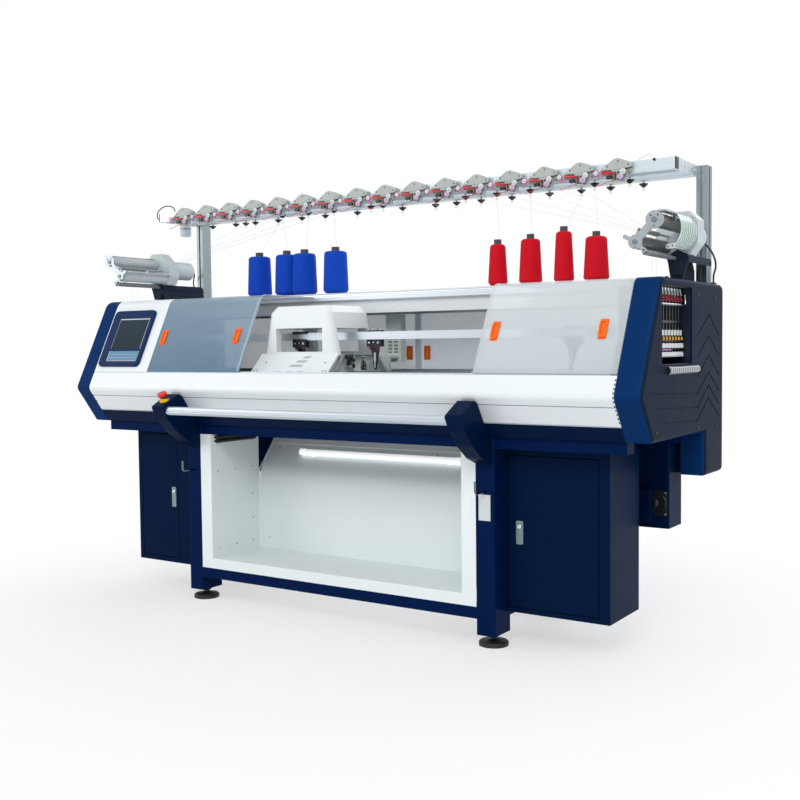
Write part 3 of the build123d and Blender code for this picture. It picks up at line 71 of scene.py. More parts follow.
def tint(red, green, blue, alpha=1.0):
    """A screen colour as linear values."""
    def linear(value):
        value /= 255
        return value / 12.92 if value <= 0.04045 else ((value + 0.055) / 1.055) ** 2.4
    return (linear(red), linear(green), linear(blue), alpha)


floor_low, floor_high = cad_box
print("machine is", [round(h - l, 3) for l, h in zip(floor_low, floor_high)], "m")

# %% [markdown]
# The camera stands to the right of the machine, at about chest height, and looks left
# along it. Its place was worked out from the straight edges of the photograph, so it is
# given as a point, two turns and a small roll.

# %% Camera
CAMERA_PLACE = Vector((2.528, -3.541, 1.088))
CAMERA_YAW = math.radians(-33.6)
CAMERA_PITCH = math.radians(-2.9)
CAMERA_ROLL = math.radians(-0.6)
FOCAL_PIXELS = 1048.5
PICTURE_PIXELS = 800
SENSOR = 36.0

ahead = Vector((
    math.sin(CAMERA_YAW) * math.cos(CAMERA_PITCH),
    math.cos(CAMERA_YAW) * math.cos(CAMERA_PITCH),
    math.sin(CAMERA_PITCH),
))
level_right = ahead.cross(Vector((0, 0, 1))).normalized()
level_up = level_right.cross(ahead)
right = level_right * math.cos(CAMERA_ROLL) + level_up * math.sin(CAMERA_ROLL)
upright = right.cross(ahead)
camera_data = bpy.data.cameras.new("camera")
camera_data.sensor_width = SENSOR
camera_data.lens = FOCAL_PIXELS * SENSOR / PICTURE_PIXELS
camera = bpy.data.objects.new("camera", camera_data)
bpy.context.scene.collection.objects.link(camera)
turn = Matrix((right, upright, -ahead)).transposed()
camera.matrix_world = Matrix.Translation(CAMERA_PLACE) @ turn.to_4x4()
bpy.context.scene.camera = camera
print("lens", round(camera_data.lens, 2), "mm")

# %% [markdown]
# A product picture stands before plain white. The background is white only to the camera,
# to reflections and through clear sheet, by the type of ray, so it adds no light of its
# own: the machine is lit by a dimmer, slightly cool sky. The same mix serves the floor.

# %% White background
WHITE_RAYS = ("Is Camera Ray", "Is Glossy Ray", "Is Transmission Ray")


def white_to_camera(tree, plain, shader="ShaderNodeBackground", fade=None):
    """Where the camera, a reflection or glass looks, show plain white; fade can hold it back."""
    rays = tree.nodes.new("ShaderNodeLightPath")
    amount = rays.outputs[WHITE_RAYS[0]]
    for ray in WHITE_RAYS[1:]:
        either = tree.nodes.new("ShaderNodeMath")
        either.operation = "MAXIMUM"
        tree.links.new(amount, either.inputs[0])
        tree.links.new(rays.outputs[ray], either.inputs[1])
        amount = either.outputs[0]
    if fade is not None:
        held = tree.nodes.new("ShaderNodeMath")
        held.operation = "MULTIPLY"
        tree.links.new(amount, held.inputs[0])
        tree.links.new(fade, held.inputs[1])
        amount = held.outputs[0]
    white = tree.nodes.new(shader)
    white.inputs["Color"].default_value = (1, 1, 1, 1)
    white.inputs["Strength"].default_value = 1.0
    mix = tree.nodes.new("ShaderNodeMixShader")
    tree.links.new(amount, mix.inputs[0])
    tree.links.new(plain, mix.inputs[1])
    tree.links.new(white.outputs[0], mix.inputs[2])
    return mix.outputs[0]


world = bpy.data.worlds.new("studio")
bpy.context.scene.world = world
world.use_nodes = True
background = world.node_tree.nodes["Background"]
background.inputs["Color"].default_value = (0.95, 0.97, 1.0, 1)
background.inputs["Strength"].default_value = 0.62
out = world.node_tree.nodes["World Output"]
world.node_tree.links.new(
    white_to_camera(world.node_tree, background.outputs[0]), out.inputs["Surface"])
print("sky strength", round(background.inputs["Strength"].default_value, 2))

# %% [markdown]
# Four soft square lamps stand round the machine: a strong one in front and above, a weaker
# one from the left, one behind that draws the upper edges, and one at the right end. They
# are kept weak enough that the white covers still show their shading.

# %% Lamps
def area_lamp(name, place, aim, size, power):
    """A soft square lamp that faces a point."""
    data = bpy.data.lights.new(name, "AREA")
    data.shape = "RECTANGLE"
    data.size, data.size_y = size
    data.energy = power
    lamp = bpy.data.objects.new(name, data)
    bpy.context.scene.collection.objects.link(lamp)
    towards = (Vector(aim) - Vector(place)).to_track_quat("-Z", "Y")
    lamp.matrix_world = Matrix.Translation(place) @ towards.to_matrix().to_4x4()
    return lamp


area_lamp("key", (2.2, -4.2, 4.2), (0, 0, 0.9), (3.2, 2.2), 118)
area_lamp("fill", (-3.6, -3.4, 2.4), (0, 0, 0.9), (2.6, 2.4), 46)
area_lamp("back", (0.5, 3.8, 3.6), (0, 0, 1.2), (3.6, 2.0), 50)
area_lamp("side", (4.6, 0.4, 2.2), (1.2, 0, 1.0), (2.0, 2.0), 34)

# %% [markdown]
# The floor is a wide pale plane that catches a soft shadow near the machine and melts into
# the white further out. A smooth step on the distance from the middle holds the white back.

# %% Floor
NEAR_WHITE = 0.55
FADE_START = 0.9
FADE_END = 2.4
bpy.ops.object.select_all(action="DESELECT")
bpy.ops.mesh.primitive_plane_add(size=60, location=(0, 0, -0.0005))
floor = bpy.context.object
floor.name = "floor"
floor_finish = bpy.data.materials.new("floor")
floor_finish.use_nodes = True
tree = floor_finish.node_tree
tree.nodes["Principled BSDF"].inputs["Base Color"].default_value = (0.86, 0.87, 0.88, 1)
tree.nodes["Principled BSDF"].inputs["Roughness"].default_value = 0.9
place = tree.nodes.new("ShaderNodeTexCoord")
reach = tree.nodes.new("ShaderNodeVectorMath")
reach.operation = "LENGTH"
tree.links.new(place.outputs["Object"], reach.inputs[0])
fade = tree.nodes.new("ShaderNodeMapRange")
fade.interpolation_type = "SMOOTHSTEP"
fade_limits = {
    "From Min": FADE_START, "From Max": FADE_END, "To Min": NEAR_WHITE, "To Max": 1.0}
for socket, value in fade_limits.items():
    fade.inputs[socket].default_value = value
tree.links.new(reach.outputs["Value"], fade.inputs["Value"])
surface = white_to_camera(
    tree, tree.nodes["Principled BSDF"].outputs[0], "ShaderNodeEmission", fade.outputs[0])
tree.links.new(surface, tree.nodes["Material Output"].inputs["Surface"])
floor.data.materials.append(floor_finish)
bpy.context.scene.view_settings.view_transform = "Standard"
print("floor white from", FADE_END, "m")

# %% [markdown]
# Materials are written as sums. A small class wraps a node's output and answers the usual
# operators with Math nodes, so a mask such as x > edge times a noise reads like a formula.
# The reflected forms let a plain number stand on the left, as in 1 - mask.

# %% Shader sums
class Wire:
    """An output socket that can be added, multiplied and compared."""

    def __init__(self, tree, socket):
        self.tree = tree
        self.socket = socket

    def sum(self, operation, other=None, swapped=False):
        """One Math node on this wire and, where there is one, another value."""
        node = self.tree.nodes.new("ShaderNodeMath")
        node.operation = operation
        first, second = (1, 0) if swapped else (0, 1)
        self.tree.links.new(self.socket, node.inputs[first])
        if isinstance(other, Wire):
            self.tree.links.new(other.socket, node.inputs[second])
        elif other is not None:
            node.inputs[second].default_value = other
        return Wire(self.tree, node.outputs[0])

    def __add__(self, other):
        return self.sum("ADD", other)

    def __radd__(self, other):
        return self.sum("ADD", other)

    def __sub__(self, other):
        return self.sum("SUBTRACT", other)

    def __rsub__(self, other):
        return self.sum("SUBTRACT", other, swapped=True)

    def __mul__(self, other):
        return self.sum("MULTIPLY", other)

    def __rmul__(self, other):
        return self.sum("MULTIPLY", other)

    def __truediv__(self, other):
        return self.sum("DIVIDE", other)

    def __gt__(self, other):
        return self.sum("GREATER_THAN", other)

    def __lt__(self, other):
        return self.sum("LESS_THAN", other)

    def __abs__(self):
        return self.sum("ABSOLUTE")

    def __mod__(self, other):
        return self.sum("FLOORED_MODULO", other)


print("wires can be added, multiplied and compared")

# %% [markdown]
# A second class starts a material with its main shader and the three axes of the object's
# own space, and adds any other node in one call. Colours are mixed by a Mix node, because a
# Math node would turn them grey.

# %% One finish
class Finish:
    """A material with one main shader, built up by calls."""

    def __init__(self, name, roughness=0.45, metallic=0.0, **constants):
        self.material = bpy.data.materials.new(name)
        self.material.use_nodes = True
        self.tree = self.material.node_tree
        self.shader = self.tree.nodes["Principled BSDF"]
        self.shader.inputs["Roughness"].default_value = roughness
        self.shader.inputs["Metallic"].default_value = metallic
        for socket, value in constants.items():
            self.shader.inputs[socket.replace("_", " ")].default_value = value
        place = self.tree.nodes.new("ShaderNodeTexCoord")
        self.object = place.outputs["Object"]
        axes = self.tree.nodes.new("ShaderNodeSeparateXYZ")
        self.tree.links.new(self.object, axes.inputs[0])
        self.x, self.y, self.z = (Wire(self.tree, axes.outputs[i]) for i in range(3))

    def node(self, kind, settings=(), output=0, **inputs):
        """Any node: settings first, then its sockets by name, or by number as in _0."""
        made = self.tree.nodes.new(kind)
        for key, value in dict(settings).items():
            setattr(made, key, value)
        for key, value in inputs.items():
            place = int(key[1:]) if key[1:].isdigit() else key.replace("_", " ")
            socket = made.inputs[place]
            if isinstance(value, Wire):
                self.tree.links.new(value.socket, socket)
            else:
                socket.default_value = value
        return Wire(self.tree, made.outputs[output])

    def noise(self, scale, detail=2.0, stretch=(1, 1, 1), rough=0.5):
        """A cloud of grey in the object's own space, stretched along an axis."""
        moved = self.node("ShaderNodeMapping", Vector=Wire(self.tree, self.object), Scale=stretch)
        return self.node("ShaderNodeTexNoise", Vector=moved, Scale=scale, Detail=detail, Roughness=rough)

    def within(self, value, low, high):
        """1 where the value lies between two limits, else 0."""
        return (value > low) * (value < high)

    def mix(self, mask, below, above):
        """below where the mask is 0, above where it is 1; each is a colour or a wire."""
        return self.node(
            "ShaderNodeMix", {"data_type": "RGBA"}, output=2, _0=mask, _6=below, _7=above)

    def put(self, socket, value):
        """Feed one socket of the main shader."""
        self.tree.links.new(value.socket, self.shader.inputs[socket])
        return self

    def bump(self, height, distance, strength=1.0):
        """Raise the surface where the height is bright, by a distance in metres."""
        bumped = self.node("ShaderNodeBump", Height=height, Distance=distance, Strength=strength)
        return self.put("Normal", bumped)


print("finishes can be started")

# %% [markdown]
# Real surfaces are never one flat colour. These helpers darken a colour, spread two close
# tones over a surface by a noise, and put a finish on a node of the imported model.

# %% Tones and dressing
def shade(colour, factor):
    """A colour made darker or lighter."""
    return tuple(min(1.0, c * factor) for c in colour[:3]) + (colour[3],)


def mottled(finish, colour, noise, amount=0.06):
    """The colour with a faint change of depth across the surface."""
    return finish.mix(noise, shade(colour, 1 - amount), shade(colour, 1 + amount))


def dress(name, finish):
    """Give a node's object one finish."""
    mesh = nodes[name].data
    mesh.materials.clear()
    mesh.materials.append(finish.material)


print("a tone darker by a tenth:", [round(c, 3) for c in shade(tint(200, 200, 200), 0.9)])

# %% [markdown]
# Powder paint covers most of the machine. It isn't flat: it has a fine orange peel, a faint
# change of depth and a duller gloss where hands rub it. One function makes it in any colour.

# %% Painted sheet metal
NAVY = tint(2, 24, 56)
NAVY_DEEP = tint(8, 16, 38)
WHITE = tint(232, 237, 239)
# The slate is the end covers' blue in painted shade, for their side face.
SHADED_SIDE = tint(20, 33, 51)
BAND = tint(12, 48, 96)
PEEL_FINENESS = 420.0


def paint(name, colour, roughness=0.38, peel=0.00022, amount=0.07, gloss=0.03):
    """Powder paint with orange peel."""
    finish = Finish(name, roughness, Specular_IOR_Level=gloss)
    cloud = finish.noise(3.0, 4.0)
    finish.put("Base Color", mottled(finish, colour, cloud, amount))
    grain = finish.noise(PEEL_FINENESS, 2.0)
    finish.put("Roughness", roughness - 0.06 + 0.12 * finish.noise(9.0, 3.0))
    finish.bump(grain, peel, 0.35)
    return finish


navy_paint = paint("navy_paint", NAVY)
deep_paint = paint("deep_navy_paint", NAVY_DEEP, 0.45)
white_paint = paint("white_paint", WHITE, 0.32, 0.00015, 0.02, 0.35)
liner_paint = paint("liner_paint", tint(234, 241, 241), 0.4, 0.00012, 0.02, 0.3)
mount_paint = paint("mount_paint", tint(40, 50, 64), 0.42)
for name in ("left_cabinet", "right_cabinet", "support_arms", "control_box"):
    dress(name, navy_paint)
dress("feeder_mounts", mount_paint)
for name in ("bay_liner", "fabric_chute"):
    dress(name, liner_paint)
for name in ("left_hood", "rear_cover", "carriage_cover"):
    dress(name, white_paint)
painted = [
    name for name, piece in nodes.items()
    if piece.data.materials and "paint" in piece.data.materials[0].name]
print("paint on", len(painted), "nodes")

# %% [markdown]
# The frame has a chromed hook on each front leg, made on the same solid. The hooks are the
# only part of the frame in front of the legs, so a test on depth finds them. The lower trim
# has a bright bare edge along its top, found by height in the same way.

# %% Frame and trim
FRAME_BLUE = tint(2, 26, 68)
frame_paint = paint("frame_paint", FRAME_BLUE)
leg_front = -0.2715
hook_low = 0.5
hook_high = 0.64
hook_inner = 0.66
on_hook = (frame_paint.y < leg_front - 0.0008) * (frame_paint.z > hook_low) * (frame_paint.z < hook_high)
on_hook = on_hook * (abs(frame_paint.x) > hook_inner)
frame_colour = mottled(frame_paint, FRAME_BLUE, frame_paint.noise(3.0, 4.0), 0.07)
frame_paint.put("Base Color", frame_paint.mix(on_hook, frame_colour, tint(112, 120, 128)))
frame_paint.put("Metallic", on_hook * 1.0)
frame_paint.put("Roughness", 0.38 - 0.24 * on_hook)
dress("base_frame", frame_paint)
trim_paint = paint("trim_paint", NAVY)
trim_top = span("lower_trim")[1][2]
lip_height = 0.003
on_lip = trim_paint.z > trim_top - lip_height
trim_colour = mottled(trim_paint, NAVY, trim_paint.noise(3.0, 4.0), 0.07)
trim_paint.put("Base Color", trim_paint.mix(on_lip, trim_colour, tint(206, 212, 216)))
dress("lower_trim", trim_paint)
print("hooks in front of", leg_front, "lip at", round(trim_top, 3))

# %% [markdown]
# The end covers are one moulding in one blue paint. The band round the front and top shows
# that blue, and the side face is given a darker slate as painted shade, where less light
# falls. The side face is the part furthest from the middle, so the distance from the middle
# picks the colour, with the rounded edge as the border.

# %% End covers
side_x = span("right_end_cover")[1][0]
cover_finish = Finish("end_cover_plastic", 0.42, Specular_IOR_Level=0.02)
edge_round = 0.006
# The side face gets the darker slate: painted shade.
shaded_side_face = abs(cover_finish.x) > side_x - edge_round
cloud = cover_finish.noise(2.5, 3.0)
shaded_side_tone = mottled(cover_finish, SHADED_SIDE, cloud, 0.08)
band = mottled(cover_finish, BAND, cloud, 0.08)
cover_finish.put("Base Color", cover_finish.mix(shaded_side_face, band, shaded_side_tone))
cover_finish.put("Roughness", 0.36 + 0.1 * cover_finish.noise(12.0, 3.0))
cover_finish.bump(cover_finish.noise(500.0, 2.0), 0.0002, 0.4)
for name in ("left_end_cover", "right_end_cover"):
    dress(name, cover_finish)
dress("side_frames", deep_paint)
print("side face starts at", round(side_x, 3))

# %% [markdown]
# The front cover's white sheets meet in a narrow joint. The solid has a shallow groove
# there, and a dark colour picked by height makes it read as a gap. A light clear coat
# gives the soft shine.

# %% Front cover
front = Finish("front_cover_paint", 0.3, Coat_Weight=0.2, Coat_Roughness=0.2)
joint_height = 0.885
joint_half = 0.0012
joint = front.within(front.z, joint_height - joint_half, joint_height + joint_half)
shell = front.mix(front.noise(3.0, 3.0), shade(WHITE, 0.985), WHITE)
front.put("Base Color", front.mix(joint, shell, tint(96, 104, 116)))
front.put("Roughness", 0.28 + 0.08 * front.noise(7.0, 3.0))
front.bump(front.noise(PEEL_FINENESS, 2.0), 0.00015, 0.3)
dress("front_cover", front)
print("joint at", joint_height)

# %% [markdown]
# The windows are bent clear plastic with a milky film. Real clear sheet would show nothing
# but reflections, so the shader is a thin pale surface that lets about half the light pass.
# The handles are on the same solid, so a mask by place turns them orange and solid. The film
# is painted paler towards the top as a painted highlight, and the left front sheet is given
# darker tones as painted shade.

# %% Windows
ORANGE = tint(240, 110, 28)


def window_finish(name, handle_places, film, low, high):
    """Milky clear sheet with a painted highlight towards the top and solid orange handles at given places.
    """
    finish = Finish(name, 0.22, Specular_IOR_Level=0.2)
    handle = None
    for (x, half_x), (z, half_z) in handle_places:
        across = finish.within(finish.x, x - half_x, x + half_x)
        here = across * finish.within(finish.z, z - half_z, z + half_z)
        handle = here if handle is None else handle + here
    haze = finish.noise(4.0, 3.0)
    # The film is painted paler towards the top: a painted highlight where the sheet bends.
    lighter_towards_top = finish.node("ShaderNodeMapRange", Value=finish.z, From_Min=0.98, From_Max=1.3)
    sheet = finish.mix(lighter_towards_top, low, high)
    sheet = finish.mix(haze * 0.4, sheet, shade(low, 0.8))
    orange = mottled(finish, ORANGE, finish.noise(60.0, 2.0), 0.08)
    finish.put("Base Color", finish.mix(handle, sheet, orange))
    finish.put("Roughness", 0.2 + 0.12 * haze + 0.1 * handle)
    finish.put("Alpha", (film + 0.12 * haze) * (1 - handle) + handle)
    return finish


handle_half = 0.0145
pull_half = 0.0155
front_z = (1.140, 0.0335)
left_handles = [((x, handle_half), front_z) for x in (-0.874, -0.448)]
right_handles = [((x, handle_half), front_z) for x in (0.766, 1.170)]
# The left front sheet's darker tones are painted shade.
dress("left_front_window", window_finish(
    "left_window_sheet", left_handles, 0.46, tint(122, 152, 176), tint(164, 188, 205)))
dress("right_front_window", window_finish(
    "right_window_sheet", right_handles, 0.42, tint(214, 224, 228), tint(244, 248, 250)))
rear_z = (1.0605, 0.031)
rear_film = (tint(196, 212, 224), tint(206, 218, 228))
dress("left_rear_window", window_finish(
    "left_back_sheet", [((-0.05, pull_half), rear_z)], 0.45, *rear_film))
dress("right_rear_window", window_finish(
    "right_back_sheet", [((0.05, pull_half), rear_z)], 0.45, *rear_film))
print("windows dressed")

# %% [markdown]
# Bare metals differ by how they were made. Extruded aluminium has fine lines along its
# length, ground steel has a tight grain, and chrome is smooth. A stretched noise drives
# roughness and a slight bump.

# %% Metals
def metal(name, colour, roughness, stretch, scale=240.0, depth=0.00005):
    """A bare metal whose grain runs where the noise is stretched."""
    finish = Finish(name, roughness, 1.0)
    grain = finish.noise(scale, 2.0, stretch)
    finish.put("Base Color", mottled(finish, colour, grain, 0.06))
    finish.put("Roughness", roughness - 0.05 + 0.12 * grain)
    finish.bump(grain, depth, 0.3)
    return finish


aluminium_x = metal("aluminium_along_x", tint(192, 200, 207), 0.36, (0.01, 1, 1))
aluminium_z = metal("aluminium_upright", tint(140, 150, 154), 0.38, (1, 1, 0.01))
ground_steel = metal("ground_steel", tint(120, 124, 128), 0.34, (0.02, 1, 1))
chrome = metal("chrome", tint(196, 204, 208), 0.14, (1, 1, 1), 90.0, 0.00001)
bolt_steel = metal("bolt_steel", tint(132, 140, 144), 0.3, (1, 1, 1), 90.0, 0.00001)
dark_steel = metal("dark_steel", tint(60, 62, 66), 0.4, (1, 1, 1), 120.0)
dress("yarn_posts", aluminium_z)
for name in ("window_tracks", "carrier_rails", "start_bar"):
    dress(name, aluminium_x)
for name in ("needle_beds", "carriage_rails"):
    dress(name, ground_steel)
for name in ("left_door_latch", "right_door_latch", "yarn_combs"):
    dress(name, chrome)
print("metals dressed")

# %% [markdown]
# The four feeder rollers are smooth sleeves with fine rings cut round them. A saw wave on
# the depth axis, cut off near its top, gives thin dark lines at an even pitch. The left
# pair catches more light in the photograph and looks paler, so a test on x picks the tone.

# %% Feeder rollers
roller_rubber = Finish("roller_sleeve", 0.32)
sleeve_line = (roller_rubber.y * 42.0) % 1.0 > 0.93
left_pair = roller_rubber.x < 0.0
sleeve_dark = roller_rubber.mix(left_pair, tint(70, 74, 74), tint(172, 180, 184))
sleeve_light = roller_rubber.mix(left_pair, tint(88, 92, 92), tint(192, 199, 203))
sleeve = roller_rubber.mix(roller_rubber.noise(30.0), sleeve_dark, sleeve_light)
sleeve_line = sleeve_line * (1 - 0.8 * left_pair)
roller_rubber.put("Base Color", roller_rubber.mix(sleeve_line, sleeve, tint(56, 58, 60)))
roller_rubber.put("Roughness", 0.26 + 0.12 * roller_rubber.noise(40.0))
for side in ("left", "right"):
    for level in ("upper", "lower"):
        dress(f"{side}_{level}_feeder_roller", roller_rubber)
print("rollers dressed")

# %% [markdown]
# The yarn rail is three aluminium channels with black eyelet discs below the rear two. They
# are one node, so a test on height picks the discs and takes their metal shine away.

# %% Yarn rail
CHANNEL_HEIGHT = 0.0418
DISC_DROP = 0.0065
rail_metal = Finish("rail_extrusion", 0.36, 1.0)
stand_low = span("yarn_rail")[1][2] - CHANNEL_HEIGHT
on_disc = rail_metal.z < stand_low - DISC_DROP
rail_grain = rail_metal.noise(240.0, 2.0, (0.01, 1, 1))
rail_colour = mottled(rail_metal, tint(200, 210, 216), rail_grain, 0.06)
rail_metal.put("Base Color", rail_metal.mix(on_disc, rail_colour, tint(18, 19, 22)))
rail_metal.put("Metallic", 0.75 - 0.75 * on_disc)
rail_metal.put("Roughness", 0.3 + 0.12 * rail_grain)
dress("yarn_rail", rail_metal)
print("rail dressed, discs below", round(stand_low - DISC_DROP, 3))

# %% [markdown]
# The yarn table's front edge is a ribbed aluminium profile; its deck and lower lip are
# white. Depth and height pick the profile, and a saw wave on height paints its ribs as pale
# and dark stripes, a painted highlight and a painted shade, because the ribs are too fine to
# be worth modelling.

# %% Yarn table
table = Finish("yarn_table_finish", 0.35)
table_top = span("yarn_table")[1][2]
profile_back = 0.1545
profile_height = 0.037
ribs_per_metre = 160.0
metal_part = (table.y < profile_back) * (table.z > table_top - profile_height)
# Each rib gets a pale half and a dark half: painted highlight and painted shade.
lit_rib_half = (table.z * ribs_per_metre) % 1.0 > 0.5
rib_light_and_shade = table.mix(lit_rib_half, tint(176, 184, 190), tint(238, 242, 244))
table.put("Base Color", table.mix(metal_part, mottled(table, WHITE, table.noise(3.0), 0.02), rib_light_and_shade))
table.put("Metallic", metal_part * 0.5)
table.put("Roughness", 0.3 + 0.1 * table.noise(8.0, 3.0, (0.05, 1, 1)))
dress("yarn_table", table)
print("table top at", round(table_top, 3))

# %% [markdown]
# Mouldings differ from paint by a finer, duller texture, and rubber and castings are duller
# still. One function makes them all: a cloud of tone and roughness, and a fine bump.

# %% Plastics and castings
def moulded(name, colour, roughness=0.45, texture=0.00012, amount=0.05):
    """Moulded plastic or rubber with a fine texture."""
    finish = Finish(name, roughness)
    cloud = finish.noise(14.0, 3.0)
    finish.put("Base Color", mottled(finish, colour, cloud, amount))
    finish.put("Roughness", roughness - 0.05 + 0.1 * cloud)
    finish.bump(finish.noise(700.0, 2.0), texture, 0.3)
    return finish


light_grey = moulded("light_grey_plastic", tint(190, 200, 202))
unit_grey = moulded("unit_grey_plastic", tint(172, 178, 173))
mid_grey = moulded("mid_grey_plastic", tint(212, 224, 216))
black = moulded("black_rubber", tint(22, 23, 26), 0.55)
casting = moulded("bed_casting", tint(70, 76, 84), 0.55, 0.0006, 0.12)
dark_tube = moulded("tube_plastic", tint(52, 54, 60), 0.5)
dress("feeder_housings", light_grey)
guide_metal = Finish("feeder_guide_metal", 0.22, Coat_Weight=0.3)
arm_face = 1.3355
arm_top = 1.522
on_arm = guide_metal.within(guide_metal.y, -0.1, 0.09)
on_arm = on_arm * (abs(guide_metal.x) > arm_face) * (guide_metal.z < arm_top)
guide_colour = guide_metal.mix(guide_metal.noise(40.0), tint(150, 158, 162), tint(172, 180, 184))
guide_metal.put("Base Color", guide_metal.mix(on_arm, guide_colour, tint(196, 214, 206)))
guide_metal.put("Metallic", 0.6 - 0.6 * on_arm)
guide_metal.put("Roughness", 0.26 - 0.14 * on_arm)
dress("feeder_guides", guide_metal)
dress("cam_boxes", mid_grey)
dress("machine_bed", casting)
black_pieces = (
    "drive_belt", "drive_motor", "feeder_cables", "take_down_roller_front", "take_down_roller_rear",
    "leveling_feet",
)
for name in black_pieces:
    dress(name, black)
dress("cone_tubes", dark_tube)
dress("tension_units", unit_grey)
for number in (1, 2, 3):
    dress(f"yarn_carrier_{number}", dark_steel)
print("plastics dressed")

# %% [markdown]
# Each cabinet door is navy with a bright latch plate that stands a little proud. The plate
# is on the door's solid, so what lies in front of the door's own face is made metal.

# %% Cabinet doors
def door_finish(name, node):
    """Navy paint, and bare metal where the latch plate stands proud."""
    finish = Finish(name, 0.36, Specular_IOR_Level=0.03)
    plate_step = 0.0011
    plate = finish.y < span(node)[0][1] + plate_step
    cloud = finish.noise(3.0, 4.0)
    finish.put("Base Color", finish.mix(plate, mottled(finish, NAVY, cloud, 0.07), tint(128, 146, 148)))
    finish.put("Metallic", plate * 0.9)
    finish.put("Roughness", 0.36 - 0.08 * plate + 0.06 * finish.noise(9.0))
    finish.bump(finish.noise(PEEL_FINENESS, 2.0), 0.0002, 0.3)
    return finish


for side in ("left", "right"):
    dress(f"{side}_cabinet_door", door_finish(f"{side}_door_paint", f"{side}_cabinet_door"))
print("doors dressed")

# %% [markdown]
# The operator's bezel is deep blue with a soft gloss. Screen and keypad are one sloping
# panel, so heights part them: a dark display above, a pale blue membrane below, and a
# light frame round both.

# %% Operator panel
bezel = moulded("bezel_plastic", tint(10, 38, 82), 0.34, 0.00008)
bezel.shader.inputs["Specular IOR Level"].default_value = 0.1
dress("screen_bezel", bezel)
panel = Finish("operator_panel", 0.2, Specular_IOR_Level=0.12)
(panel_left, _, panel_low), (panel_right, _, panel_high) = span("operator_panel")
screen_low = 1.083
frame_width = 0.004
frame_height = 0.005
inside = panel.within(panel.x, panel_left + frame_width, panel_right - frame_width)
inside = inside * (panel.z < panel_high - frame_height)
on_screen = (panel.z > screen_low + 0.006) * inside
on_keys = (panel.z < screen_low) * inside * (panel.z > panel_low + frame_height)
# The display is painted a little lighter towards its top.
screen_lighter_upwards = panel.node("ShaderNodeMapRange", Value=panel.z, From_Min=screen_low, From_Max=panel_high)
picture = panel.mix(screen_lighter_upwards, tint(22, 38, 48), tint(36, 52, 62))
keypad = panel.mix(panel.noise(30.0), tint(92, 142, 172), tint(104, 154, 182))
panel_colour = panel.mix(on_keys, panel.mix(on_screen, tint(196, 204, 208), picture), keypad)
panel.put("Base Color", panel_colour)
panel.put("Roughness", 0.35 - 0.2 * on_screen + 0.04 * panel.noise(20.0))
dress("operator_panel", panel)
print("screen above", screen_low)

# %% [markdown]
# The emergency stop is a red head on a black collar with a yellow ring, and the signal lamp
# is pale glass with a grey band where its two halves meet. Both bands are picked by height.
# The bay lamp gives a faint light of its own, as a lit tube does.

# %% Stop button and lamps
red_head = moulded("stop_red", tint(214, 28, 30), 0.3)
collar = Finish("stop_collar", 0.4)
(_, _, collar_low), (_, _, collar_high) = span("stop_button_base")
ring_share = 0.55
on_ring = collar.z < collar_low + ring_share * (collar_high - collar_low)
collar.put("Base Color", collar.mix(on_ring, tint(20, 21, 24), tint(236, 190, 36)))
collar.put("Roughness", 0.34 + 0.12 * collar.noise(60.0))
dress("stop_button", red_head)
dress("stop_button_base", collar)
beacon = Finish("signal_lamp_glass", 0.12, Coat_Weight=0.4)
beacon_low, beacon_high = span("signal_lamp")
collar_z = beacon_low[2] * 0.45 + beacon_high[2] * 0.55
band_half = 0.003
on_collar = beacon.within(beacon.z, collar_z - band_half, collar_z + band_half)
beacon_glass = beacon.mix(beacon.z > collar_z, tint(206, 218, 222), tint(220, 224, 222))
beacon.put("Base Color", beacon.mix(on_collar, beacon_glass, tint(132, 140, 142)))
beacon.put("Roughness", 0.14 + 0.1 * beacon.noise(20.0))
dress("signal_lamp", beacon)
lamp = Finish("bay_lamp_glow", 0.3)
lamp.shader.inputs["Emission Color"].default_value = (1, 1, 1, 1)
lamp.shader.inputs["Emission Strength"].default_value = 0.6
lamp.put("Base Color", mottled(lamp, tint(240, 244, 248), lamp.noise(10.0), 0.02))
dress("bay_lamp", lamp)
print("button and lamps dressed")

# %% [markdown]
# The yarn on the tubes is wound in crossing turns. Modelled threads would be thousands of
# strands, so two sine waves, one climbing and one falling across each package, colour the
# surface, darker between the turns as painted shade in the grooves, and lift it slightly
# where turns lie on top.

# %% Yarn packages
yarn = Finish("yarn", 0.8, Sheen_Weight=0.08, Sheen_Roughness=0.4, Specular_IOR_Level=0.2)
red_side = yarn.x > 0.1
turns = math.pi * 330.0
slope = 0.22
climb = (yarn.z + slope * (yarn.x + yarn.y)) * turns
fall = (yarn.z - slope * (yarn.x + yarn.y)) * turns
winding = 0.5 + 0.25 * (climb.sum("SINE") + fall.sum("SINE"))
yarn_light = yarn.mix(red_side, tint(6, 78, 204), tint(226, 10, 36))
# The darker yarn tone is painted shade between the turns.
yarn_groove_shade = yarn.mix(red_side, tint(4, 54, 158), tint(180, 4, 24))
yarn.put("Base Color", yarn.mix(winding, yarn_groove_shade, yarn_light))
yarn.bump(winding, 0.0006, 0.5)
dress("yarn_packages", yarn)
print("yarn dressed")

# %% [markdown]
# The rest of the lesson models small pieces. Each starts from a primitive or a cut outline,
# is grown and softened with the usual operators, and ends with its place in its own mesh.
# Lengths are written in millimetres, as on a drawing. An operator acts on all that is
# selected, so the first helpers clear the selection, pick one object, move its place into
# its mesh, bevel its edges and turn its faces outwards.

# %% Tools that select and settle
def fresh():
    """Leave edit mode and select nothing."""
    if bpy.context.object and bpy.context.object.mode != "OBJECT":
        bpy.ops.object.mode_set(mode="OBJECT")
    bpy.ops.object.select_all(action="DESELECT")


def only(obj):
    """Select one object and make it the active one."""
    fresh()
    obj.select_set(True)
    bpy.context.view_layer.objects.active = obj
    return obj


